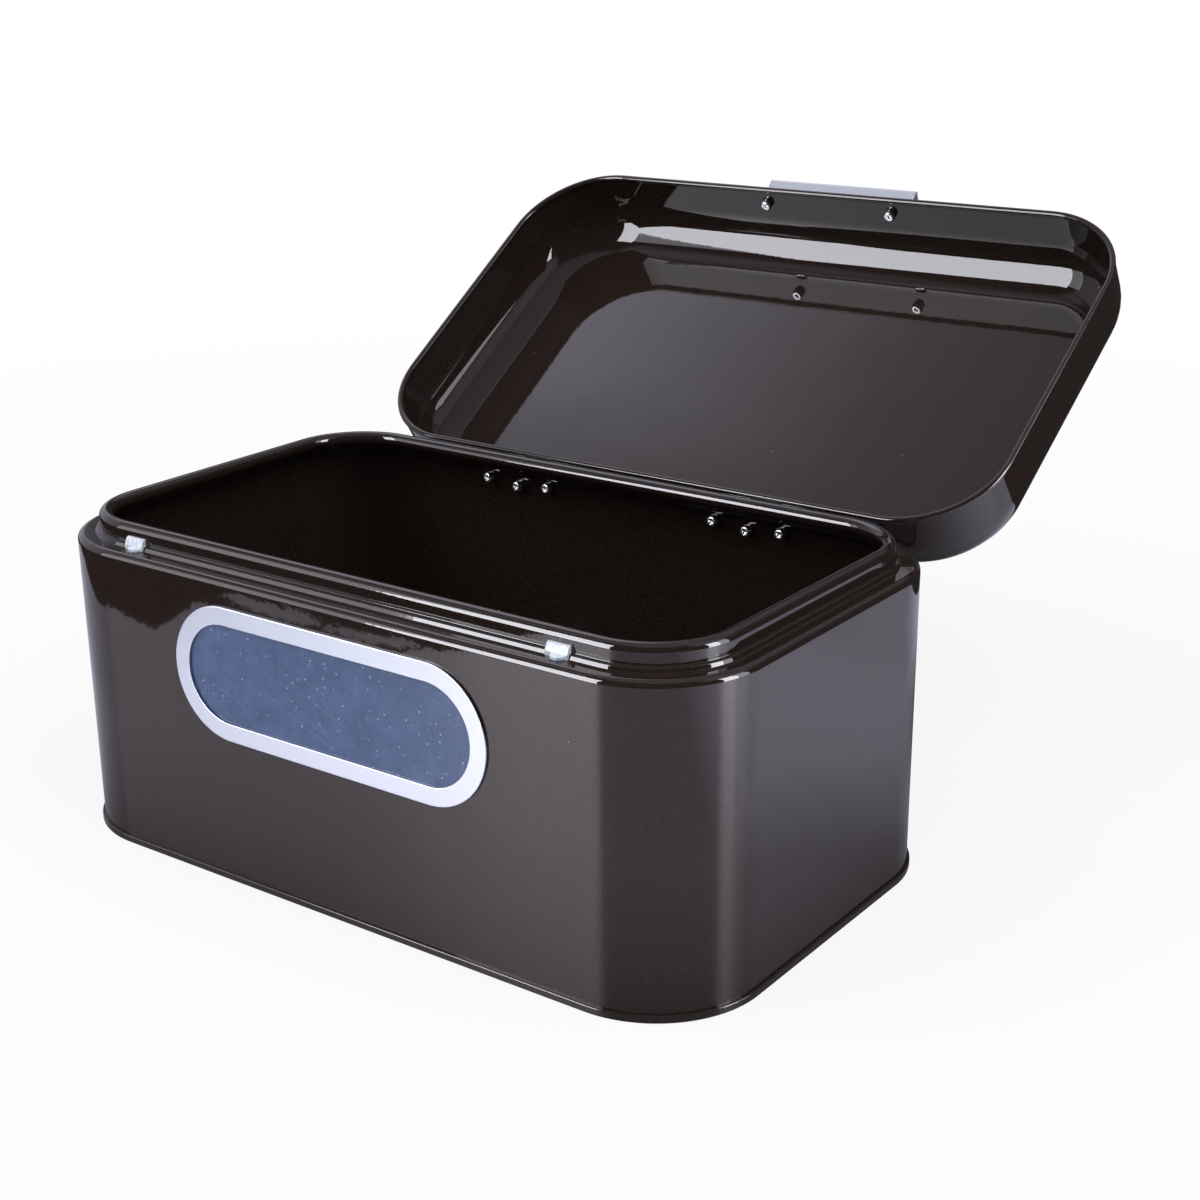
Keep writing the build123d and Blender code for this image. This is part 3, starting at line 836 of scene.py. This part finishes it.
def coat_with(piece, material):
    """Makes a material the only one on a piece."""
    piece.data.materials.clear()
    piece.data.materials.append(material)


print("mid grey #808080 is", round(linear("#808080")[0], 3), "in linear light")

# %% [markdown]
# ## Baking lacquer
# The sheet is sprayed dark brown all over, almost black, and baked hard at about 160 degrees.
# Wet lacquer pulls into orange peel before it sets, so the coat is a good mirror whose edges
# wave a little, and dust that fell on it leaves nibs. A plain glossy paint with a fine bump
# gives both: the brown shows only where it mirrors something dark. The open faces mirror at
# full gloss. The inside of the wall and of the lid's skirt, and the bend round the lid's plate,
# get a copy that mirrors less. It is painted shade, which darkens them more than the light does.

# %% The lacquer
def baked_lacquer(name, index):
    """Dark brown gloss. Orange peel 2 to 4 mm long and some micrometres high lies on slow
    waves of 5 cm, with nibs of dust about 15 mm apart. index is the coat's IOR."""
    material, tree = new_material(name)
    spot = place_on_piece(tree)
    peel = add(tree, "TexNoise", {"Vector": spot, "Scale": 250.0, "Detail": 1.0})
    sag = add(tree, "TexNoise", {"Vector": spot, "Scale": 20.0, "Detail": 1.0})
    slow = add(tree, "Bump", {"Height": sag, "Strength": 1.0, "Distance": 1.2e-4})
    skin = add(
        tree, "Bump", {"Height": peel, "Strength": 1.0, "Distance": 1.4e-5, "Normal": slow}
    )
    grain = add(tree, "TexNoise", {"Vector": spot, "Scale": 1800.0, "Detail": 0.0})
    browns = (0.35, linear("#221916")), (0.65, linear("#2b221f"))
    tint = add(tree, "ValToRGB", [grain], browns)
    dust = add(tree, "TexVoronoi", {"Vector": spot, "Scale": 65.0, "Randomness": 1.0})
    nib = add(tree, "MapRange", [dust.outputs["Distance"], 0.012, 0.022, 1.0, 0.0])
    dusty = add(tree, "MixRGB", [nib, tint, linear("#8a8884")])
    paint = add(
        tree, "BsdfPrincipled",
        {"Base Color": dusty, "Roughness": 0.04, "IOR": index, "Normal": skin},
    )
    return surfaced(material, paint)


LEVEL = 0.02  # mm: the plane of a level face comes this close to the shell's middle, or closer
MOUTH_DROP = 12  # mm below the body's mouth where the inside also keeps the full gloss
PLATE_DEPTH = 1.5  # mm from the lid's plate where both faces keep the full gloss
BEND_SLOPE = 0.3  # share of its normal along the lid's axis that puts a face on the bend


def face_frame(piece, place_of):
    """Of each face, in the shell's own frame: the share of its normal n along the axis, the
    middle p of the face along the axis in mm, and whether it looks towards the shell's middle
    m, which is where n . (p - m) across the axis is below nought."""
    normals, centres = np.empty((2, len(piece.data.polygons) * 3))
    piece.data.polygons.foreach_get("normal", normals)
    piece.data.polygons.foreach_get("center", centres)
    origin, axes = place_of
    normals = normals.reshape(-1, 3) @ axes.T
    centres = (centres.reshape(-1, 3) - origin) @ axes.T / MM
    reach = (normals[:, :2] * (centres - centres.mean(axis=0))[:, :2]).sum(axis=1)
    return normals[:, 2], centres[:, 2], reach < -LEVEL


def spray(piece, painted_shade_coat_only):
    """Gives a shell both lacquers. The copy that mirrors less is painted shade and goes on the
    faces that the mask marks true.
    """
    for lacquer in (full_gloss_coat, painted_shade_coat):
        piece.data.materials.append(lacquer)
    piece.data.polygons.foreach_set("material_index", painted_shade_coat_only.astype(np.int32))
    print(f"{piece.name}: {int(painted_shade_coat_only.sum())} of {len(painted_shade_coat_only)} faces have one coat")


# The second lacquer is painted shade: the same paint with a lower IOR, so it mirrors less and
# darkens the faces it is put on.
full_gloss_coat = baked_lacquer("baking_lacquer_clear_coated", 1.5)
painted_shade_coat = baked_lacquer("baking_lacquer_one_coat", 1.41)
_, height, inwards = face_frame(wall, body_place)
# Painted shade on the inside of the wall, below the mouth.
spray(wall, inwards & (height < height.max() - MOUTH_DROP))
coat_with(pan, full_gloss_coat)
along, height, inwards = face_frame(lid, lid_place)  # this axis points out of the lid's mouth
on_bend = along < -BEND_SLOPE
# Painted shade on the inside of the lid's skirt and on the bend round its plate.
spray(lid, (inwards | on_bend) & (height > height.min() + PLATE_DEPTH))

# %% [markdown]
# ## Metals
# The window ring is punched from aluminium sheet, brightened and anodised. The handle is brushed
# stainless steel, whose grain runs along the strip. The hinge leaves are zinc plated, with a
# faint bluish mottle from the passivating bath, and the rivets are plain bright aluminium.

# %% Bare and plated metals
def brightened_aluminium():
    """Anodised aluminium sheet: near white, satin, with very fine rolling lines along x."""
    material, tree = new_material("aluminium_brightened_anodised")
    spot = place_on_piece(tree)
    stretched = add(tree, "Mapping", {"Vector": spot, "Scale": (30.0, 3000.0, 3000.0)})
    lines = add(tree, "TexNoise", {"Vector": stretched, "Scale": 1.0, "Detail": 2.0})
    bump = add(tree, "Bump", {"Height": lines, "Strength": 0.6, "Distance": 3e-6})
    metal = add(
        tree, "BsdfPrincipled",
        {"Base Color": linear("#c0c5ce"), "Metallic": 1.0, "Roughness": 0.32, "Normal": bump},
    )
    return surfaced(material, metal)


def brushed_steel():
    """Stainless strip with a brushed grain along x: lines 0.15 mm apart and 40 mm long. Deep
    brushing looks half matt in even light, so only a third of the shading is a metal's."""
    material, tree = new_material("stainless_steel_brushed")
    spot = place_on_piece(tree)
    stretched = add(tree, "Mapping", {"Vector": spot, "Scale": (25.0, 6000.0, 6000.0)})
    grain = add(tree, "TexNoise", {"Vector": stretched, "Scale": 1.0, "Detail": 3.0})
    bump = add(tree, "Bump", {"Height": grain, "Strength": 0.5, "Distance": 4e-6})
    rough = add(tree, "MapRange", {"Value": grain, "To Min": 0.24, "To Max": 0.36})
    metal = add(
        tree, "BsdfPrincipled",
        {"Base Color": linear("#c3c7d3"), "Metallic": 0.35, "Roughness": rough, "Normal": bump},
    )
    return surfaced(material, metal)


def zinc_plate():
    """Bright zinc on steel: bluish grey with cloudy patches about 3 mm across."""
    material, tree = new_material("zinc_plated_steel_passivated")
    spot = place_on_piece(tree)
    cloud = add(tree, "TexNoise", {"Vector": spot, "Scale": 350.0, "Detail": 3.0})
    greys = (0.0, linear("#aeb4bc")), (1.0, linear("#d0d2d2"))
    tint = add(tree, "ValToRGB", [cloud], greys)
    rough = add(tree, "MapRange", {"Value": cloud, "To Min": 0.2, "To Max": 0.4})
    metal = add(
        tree, "BsdfPrincipled", {"Base Color": tint, "Metallic": 1.0, "Roughness": rough}
    )
    return surfaced(material, metal)


def rivet_metal():
    """Plain aluminium rivet, drawn and bright, with a few dull rubs."""
    material, tree = new_material("aluminium_drawn_bright")
    spot = place_on_piece(tree)
    rub = add(tree, "TexNoise", {"Vector": spot, "Scale": 900.0, "Detail": 2.0})
    rough = add(tree, "MapRange", {"Value": rub, "To Min": 0.15, "To Max": 0.35})
    metal = add(
        tree, "BsdfPrincipled",
        {"Base Color": linear("#e4e5e7"), "Metallic": 1.0, "Roughness": rough},
    )
    return surfaced(material, metal)


coat_with(ring, brightened_aluminium())
coat_with(handle, brushed_steel())
zinc, bright_rivet = zinc_plate(), rivet_metal()
for part in hinge_parts:
    coat_with(part, zinc)
for piece in bpy.data.objects:
    if piece.name.endswith("_set"):
        coat_with(piece, bright_rivet)
print(len(bpy.data.materials), "materials so far")

# %% [markdown]
# ## Pane, clamp and silicone
# The pane is clear acrylic under its blue protective film, which shows fine straight scratches
# from the cutting table. The clamp ring is black steel. The bumpers are clear silicone rubber,
# which scatters light inside and looks like ice.

# %% Film, black steel and silicone
SCRATCHES = (  # angle in degrees, width and length in mm
    (22, 0.55, 60.0),
    (-31, 0.5, 45.0),
    (55, 0.5, 50.0),
    (-68, 0.5, 30.0),
)


def scratch(tree, spot, angle, width, length):
    """Sparse straight scratches at an angle in the pane's plane: the peaks of a noise drawn
    out to a length and a width in mm."""
    along = add(
        tree, "Mapping",
        {
            "Vector": spot,
            "Rotation": (0, math.radians(angle), 0),
            "Scale": (length * MM, 1.0, width * MM),
        },
        vector_type="TEXTURE",
    )
    noise = add(tree, "TexNoise", {"Vector": along, "Scale": 1.0, "Detail": 0.0})
    return add(tree, "MapRange", [noise, 0.75, 0.84])


def film_on_acrylic():
    """Blue protective film on a clear sheet, with scratches four ways and white dust. About
    half of the dust's cells, 3 mm wide, hold a speck."""
    material, tree = new_material("acrylic_cast_under_blue_film")
    spot = place_on_piece(tree)
    marks, *others = [scratch(tree, spot, *way) for way in SCRATCHES]
    for other in others:
        marks = add(tree, "Math", [marks, other], operation="MAXIMUM")
    dust = add(tree, "TexVoronoi", {"Vector": spot, "Scale": 300.0, "Randomness": 1.0})
    speck = add(tree, "MapRange", [dust.outputs["Distance"], 0.09, 0.15, 1.0, 0.0])
    some = add(tree, "MapRange", [dust.outputs["Color"], 0.5, 0.85])
    speck = add(tree, "Math", [speck, some], operation="MULTIPLY")
    haze = add(
        tree, "TexNoise", {"Vector": spot, "Scale": 90.0, "Detail": 5.0, "Roughness": 0.75}
    )
    blues = (0.3, linear("#314a73")), (0.7, linear("#4a6290"))
    tone = add(tree, "ValToRGB", [haze], blues)
    worn = add(tree, "Math", [marks, 0.11], operation="MULTIPLY")
    white = add(tree, "Math", [speck, 0.75], operation="MULTIPLY")
    white = add(tree, "Math", [worn, white], operation="MAXIMUM")
    colour = add(tree, "MixRGB", [white, tone, linear("#c9d4e4")])
    rough = add(tree, "MapRange", {"Value": haze, "To Min": 0.05, "To Max": 0.14})
    film = add(
        tree, "BsdfPrincipled", {"Base Color": colour, "Roughness": rough, "IOR": 1.49}
    )
    return surfaced(material, film)


def black_steel():
    """Blackened pressed steel, semi-gloss."""
    material, tree = new_material("steel_pressed_blackened")
    spot = place_on_piece(tree)
    grit = add(tree, "TexNoise", {"Vector": spot, "Scale": 1200.0, "Detail": 2.0})
    bump = add(tree, "Bump", {"Height": grit, "Strength": 0.3, "Distance": 5e-6})
    steel = add(
        tree, "BsdfPrincipled",
        {"Base Color": linear("#1b1a1b"), "Roughness": 0.35, "Normal": bump},
    )
    return surfaced(material, steel)


def silicone():
    """Clear silicone rubber: bluish and mottled with fine bubbles, and painted white at its edges
    where it is seen edge on, a painted glow for the light that travels along inside it."""
    material, tree = new_material("silicone_rubber_clear_moulded")
    spot = place_on_piece(tree)
    bubbles = add(tree, "TexNoise", {"Vector": spot, "Scale": 900.0, "Detail": 2.0})
    ices = (0.4, linear("#b4c8f0")), (0.62, linear("#f3f7ff"))
    tint = add(tree, "ValToRGB", [bubbles], ices)
    # Painted glow: the colour turns white where the surface is seen edge on.
    edge = add(tree, "LayerWeight", {"Blend": 0.35})
    whole = add(tree, "MixRGB", [edge.outputs["Facing"], tint, linear("#ffffff")])
    rough = add(tree, "MapRange", {"Value": bubbles, "To Min": 0.15, "To Max": 0.3})
    rubber = add(
        tree, "BsdfPrincipled",
        {
            "Base Color": whole,
            "Roughness": rough,
            "IOR": 1.41,
            "Transmission Weight": 0.15,
            "Subsurface Weight": 0.5,
            "Subsurface Radius": (0.0015, 0.0015, 0.002),
        },
    )
    return surfaced(material, rubber)


coat_with(pane, film_on_acrylic())
coat_with(clamp, black_steel())
clear_rubber = silicone()
for bumper in bumpers:
    coat_with(bumper, clear_rubber)
print("film, clamp and bumpers done")

# %% [markdown]
# ## The studio
# Glossy black has almost no colour of its own, so its picture is made by what it mirrors. The
# bin stands on a sheet of white paper with an uneven left edge, beside which two offcuts lie,
# and the camera sees plain white all round. What a mirror sees is set apart from that: paper
# that glows, with the bin's and its lid's shade painted in, and beyond its edge a dark room.

# %% Paper
def seen_share(tree, to_camera, to_mirrors):
    """How much plain white a ray meets: one share for the camera, and another for rays from
    mirrors and through glass. Light that falls on a matt surface gets none."""
    path = add(tree, "LightPath").outputs
    mirror = add(
        tree, "Math", [path["Is Glossy Ray"], path["Is Transmission Ray"]], operation="MAXIMUM"
    )
    parts = [
        add(tree, "Math", [ray, share], operation="MULTIPLY")
        for ray, share in ((path["Is Camera Ray"], to_camera), (mirror, to_mirrors))
    ]
    return add(tree, "Math", parts, operation="MAXIMUM")


FOOT_CORE = (0.120, 0.053, 0.0)  # half the rectangle between the foot's corner middles, metres
FOOT_GLOW = ((0.045, 0.22), (0.085, 0.52), (0.165, 0.86), (0.33, 0.95))  # metres off it, grey: painted shade, darkest at the foot
TO_REAR_RIGHT = (0.8, 0.6, 0.0)
LID_SHADE = ((-0.03, 0.22, 0.0), (0.23, 0.12, 1.0))  # middle and half axes, in metres


def paper_in_mirrors(tree, spot):
    """The paper as mirrors see it: a glow with painted light and shade. Grey rises with the
    distance from the bin's foot, which is the length of max(|p| - core, 0), as painted shade near
    the foot. It is brighter near the right lamp, as a painted pool of light. It is darker at the
    far left, and it has painted shade behind the bin and in an oval under the lid, where
    (p - m)/axes is about 1 long. Seen at a slant it has a sheen."""
    off = add(tree, "VectorMath", [spot], operation="ABSOLUTE")
    off = add(tree, "VectorMath", [off, FOOT_CORE], operation="SUBTRACT")
    off = add(tree, "VectorMath", [off, (0, 0, 0)], operation="MAXIMUM")
    off = add(tree, "VectorMath", [off], operation="LENGTH").outputs["Value"]
    greys = [(distance, (grey, grey, grey, 1.0)) for distance, grey in FOOT_GLOW]
    glow = add(tree, "ValToRGB", [off], greys)
    tint = add(tree, "MixRGB", [1.0, glow, linear("#e6e6fd")], blend_type="MULTIPLY")

    slanted = add(tree, "VectorMath", [spot, TO_REAR_RIGHT], operation="DOT_PRODUCT")
    slanted = slanted.outputs["Value"]
    backwards = add(tree, "SeparateXYZ", [spot]).outputs["Y"]
    oval = add(tree, "VectorMath", [spot, LID_SHADE[0]], operation="SUBTRACT")
    oval = add(tree, "VectorMath", [oval, LID_SHADE[1]], operation="DIVIDE")
    oval = add(tree, "VectorMath", [oval], operation="LENGTH").outputs["Value"]
    strength = add(tree, "MapRange", [slanted, 0.20, 0.43, 1.0, 3.1])
    for measure, start, end, before, after in (
        (backwards, 0.05, 0.30, 1.0, 0.42),
        (slanted, -0.34, -0.19, 0.82, 1.0),
        (oval, 0.6, 1.2, 0.12, 1.0),
    ):
        shade = add(tree, "MapRange", [measure, start, end, before, after])
        strength = add(tree, "Math", [strength, shade], operation="MULTIPLY")
    # Painted light and shade: the paper glows for mirrors. It is darker near the bin's foot,
    # behind the bin and under the lid, and brighter towards the right lamp.
    plain = add(tree, "Emission", {"Color": tint, "Strength": strength})
    sheen = add(tree, "BsdfGlossy", {"Color": linear("#f7efec"), "Roughness": 0.3})
    return add(tree, "MixShader", [add(tree, "Fresnel", {"IOR": 1.5}), plain, sheen])


def table_paper():
    """Matt white paper. The camera sees it plain white, less a share that keeps the bin's soft
    shadow: a sixth near the bin, falling to nought at 1.2 m. Mirrors see it shaded."""
    material, tree = new_material("paper_white_matt")
    spot = place_on_piece(tree)
    mirrored = paper_in_mirrors(tree, spot)
    matt = add(tree, "BsdfDiffuse", {"Color": linear("#f0f0f0")})
    white = add(tree, "Emission", {"Color": linear("#ffffff"), "Strength": 1.0})
    far = add(tree, "VectorMath", [spot], operation="LENGTH").outputs["Value"]
    plainness = add(tree, "MapRange", [far, 0.3, 1.2, 0.84, 1.0])
    plain_share = add(
        tree, "Math", [plainness, seen_share(tree, 1.0, 0.0)], operation="MULTIPLY"
    )
    seen = add(tree, "MixShader", [plain_share, matt, white])
    return surfaced(
        material, add(tree, "MixShader", [seen_share(tree, 0.0, 1.0), seen, mirrored])
    )


paper = table_paper()
print(len(paper.node_tree.nodes), "nodes make the paper")

# %% The table, its offcuts and the floor
TABLE_OUTLINE = [  # mm: the uneven left edge from the back to the front, then the straight ones
    (-560, 255), (-535, -60), (-435, -200), (-370, -298), (-315, -288), (-330, -332),
    (-180, -334), (-140, -372), (-90, -450), (60, -600), (700, -600), (700, 420),
    (-250, 420), (-300, 270),
]
OFFCUTS = (  # middle, length and width in mm, and turn in degrees
    ((-285, -346), 84, 16, 5),
    ((-207, -344), 68, 13, -5),
)
FLOOR_REACH, FLOOR_DROP = 6000, 0.5  # mm


def offcut(middle, length, width, turn):
    """The outline of an oval offcut: (a cos t, b sin t), turned and moved to its middle."""
    t = np.linspace(0, 2 * math.pi, 24, endpoint=False)
    oval = np.stack([length / 2 * np.cos(t), width / 2 * np.sin(t)])
    c, s = math.cos(math.radians(turn)), math.sin(math.radians(turn))
    return (np.array([(c, -s), (s, c)]) @ oval).T + middle


def paper_sheets(name, outlines, height):
    """Level sheets of paper in one mesh, each a face inside its outline, in mm."""
    ends = np.cumsum([0, *map(len, outlines)])
    faces = [list(range(start, end)) for start, end in zip(ends, ends[1:])]
    edges = np.concatenate(outlines)
    piece = mesh_piece(name, np.column_stack([edges, np.full(len(edges), height)]) * MM, faces)
    coat_with(piece, paper)
    return piece


paper_sheets("table", [TABLE_OUTLINE, *[offcut(*one) for one in OFFCUTS]], 0)
floor_corners = np.array([(-1, -1), (1, -1), (1, 1), (-1, 1)]) * FLOOR_REACH
floor = paper_sheets("floor", [floor_corners], -FLOOR_DROP)
floor.visible_glossy = False

# %% [markdown]
# ## Lamps
# Two tall strip lamps, one on either side, draw the two bright lines on the rounded corner, with
# the dark room between them, and each has a weaker strip beside it that softens its edge. Only
# mirrors see the strips. Two soft square lamps above light the matt parts, and mirrors don't
# see those. A little even light comes from the world.

# %% World and lamps
EVEN_LIGHT = 0.45
STRIP_DISTANCE, KEY_DISTANCE, KEY_SIZE = 3.5, 2.2, 1.6  # metres
KEY_LIFT = 0.1
STRIP_TINT = (0.97, 0.97, 1.04)
STRIPS = (  # name, azimuth in degrees, width, bottom and top in metres, radiance
    ("left_strip", -27.5, 1.42, -0.65, 2.6, 16.5),
    ("left_strip_edge", -46, 0.90, -0.3, 2.2, 3.0),
    ("right_strip", 103, 0.92, -0.5, 2.2, 18.0),
    ("right_strip_edge", 117, 0.80, -0.5, 2.2, 5.0),
)
KEYS = (("left_key", -40, 45, 2.6), ("right_key", 80, 50, 3.0))  # azimuth, elevation, radiance

world = bpy.data.worlds.new("room")
world.use_nodes = True
bpy.context.scene.world = world
room = world.node_tree
room.nodes.clear()
lights = [
    add(room, "Background", {"Color": linear("#ffffff"), "Strength": strength})
    for strength in (EVEN_LIGHT, 1.0)
]
shown = add(room, "MixShader", [seen_share(room, 1.0, 1.0), *lights])
add(room, "OutputWorld", {"Surface": shown})


def direction(azimuth, elevation):
    """Unit vectors from the bin. Azimuth turns from the front towards the right end."""
    a, e = np.radians(azimuth), np.radians(elevation)
    return np.stack([np.sin(a) * np.cos(e), -np.cos(a) * np.cos(e), np.sin(e)], axis=-1)


def area_lamp(name, azimuth, elevation, distance, width, height, radiance, lift):
    """A rectangular lamp of even radiance that faces the bin. Its power is pi times its
    radiance times its area."""
    data = bpy.data.lights.new(name, "AREA")
    data.shape, data.size, data.size_y = "RECTANGLE", width, height
    data.energy = math.pi * radiance * width * height
    lamp = bpy.data.objects.new(name, data)
    bpy.context.scene.collection.objects.link(lamp)
    towards = Vector(direction(azimuth, elevation).tolist())
    lamp.location = towards * distance + Vector((0, 0, lift))
    lamp.rotation_euler = towards.to_track_quat("Z", "Y").to_euler()
    print(f"{name}: {data.energy:.0f} W")
    return lamp


for name, azimuth, width, bottom, top, radiance in STRIPS:
    height, lift = top - bottom, (top + bottom) / 2
    strip = area_lamp(name, azimuth, 0, STRIP_DISTANCE, width, height, radiance, lift)
    strip.data.color = STRIP_TINT
    strip.visible_diffuse = False
for name, azimuth, elevation, radiance in KEYS:
    key = area_lamp(
        name, azimuth, elevation, KEY_DISTANCE, KEY_SIZE, KEY_SIZE, radiance, KEY_LIFT
    )
    key.visible_glossy = False

# %% [markdown]
# ## The room in the mirror
# The rest of what the lacquer mirrors is a dark room with a pale ceiling and white walls high up
# on each side, out of focus. A large ball round the bin, seen by mirrors alone, carries it: the
# brightness of each direction is worked out for its points, and its material shows that.

# %% The mirrored room
DARK = 0.035
ROOM_RADIUS, ROOM_STEP = 4.6, 2.5  # metres, and degrees from point to point
ROOM = (  # middle azimuth and elevation, half widths, softness, all in degrees, and brightness
    (0, 90, 200, 32, 8, 0.58),      # ceiling
    (-122, 46, 26, 14, 16, 2.15),   # daylight high on the left
    (-88, 20, 38, 22, 4, 0.85),     # white wall at the left
    (-60, 50, 14, 8, 12, 0.75),     # its upper end, nearer the lamp
    (112, 46, 28, 12, 8, 0.90),     # white wall at the right
    (190, 46, 60, 14, 16, 0.45),    # upper wall behind the bin
)


def room_glow(azimuth, elevation):
    """Brightness of the room in each direction: dark, with soft patches. A patch fades out
    across its edge over its softness, and the brightest patch counts."""
    glow = np.full(azimuth.shape, DARK)
    for middle, height, half_width, half_height, soft, bright in ROOM:
        aside = abs((azimuth - middle + 180) % 360 - 180)
        fade = [
            np.clip((half + soft / 2 - off) / soft, 0, 1)
            for half, off in ((half_width, aside), (half_height, abs(elevation - height)))
        ]
        glow = np.maximum(glow, bright * fade[0] * fade[1])
    return glow


def mirror_room(radius, step):
    """A ball of directions around the bin, azimuth by elevation, that only mirrors see. Each
    point keeps the room's brightness in its direction."""
    azimuth, elevation = np.meshgrid(
        np.arange(-180, 180 + step, step), np.arange(-90, 90 + step, step), indexing="ij"
    )
    rows, columns = azimuth.shape
    row, column = np.meshgrid(np.arange(rows - 1), np.arange(columns - 1), indexing="ij")
    corner = row * columns + column
    quads = np.stack([corner, corner + 1, corner + columns + 1, corner + columns], axis=-1)
    points = direction(azimuth, elevation).reshape(-1, 3) * radius
    ball = mesh_piece("mirror_room", points, quads.reshape(-1, 4).tolist())
    glow = ball.data.attributes.new("glow", "FLOAT", "POINT")
    glow.data.foreach_set("value", room_glow(azimuth, elevation).astype(np.float32).ravel())
    material, tree = new_material("room_in_the_mirror")
    bright = add(tree, "Attribute", attribute_name="glow").outputs["Fac"]
    shine = add(tree, "Emission", {"Color": linear("#e9e9fb"), "Strength": bright})
    coat_with(ball, surfaced(material, shine))
    ball.visible_camera = ball.visible_diffuse = ball.visible_shadow = False
    ball.visible_transmission = False


mirror_room(ROOM_RADIUS, ROOM_STEP)

bpy.context.view_layer.update()
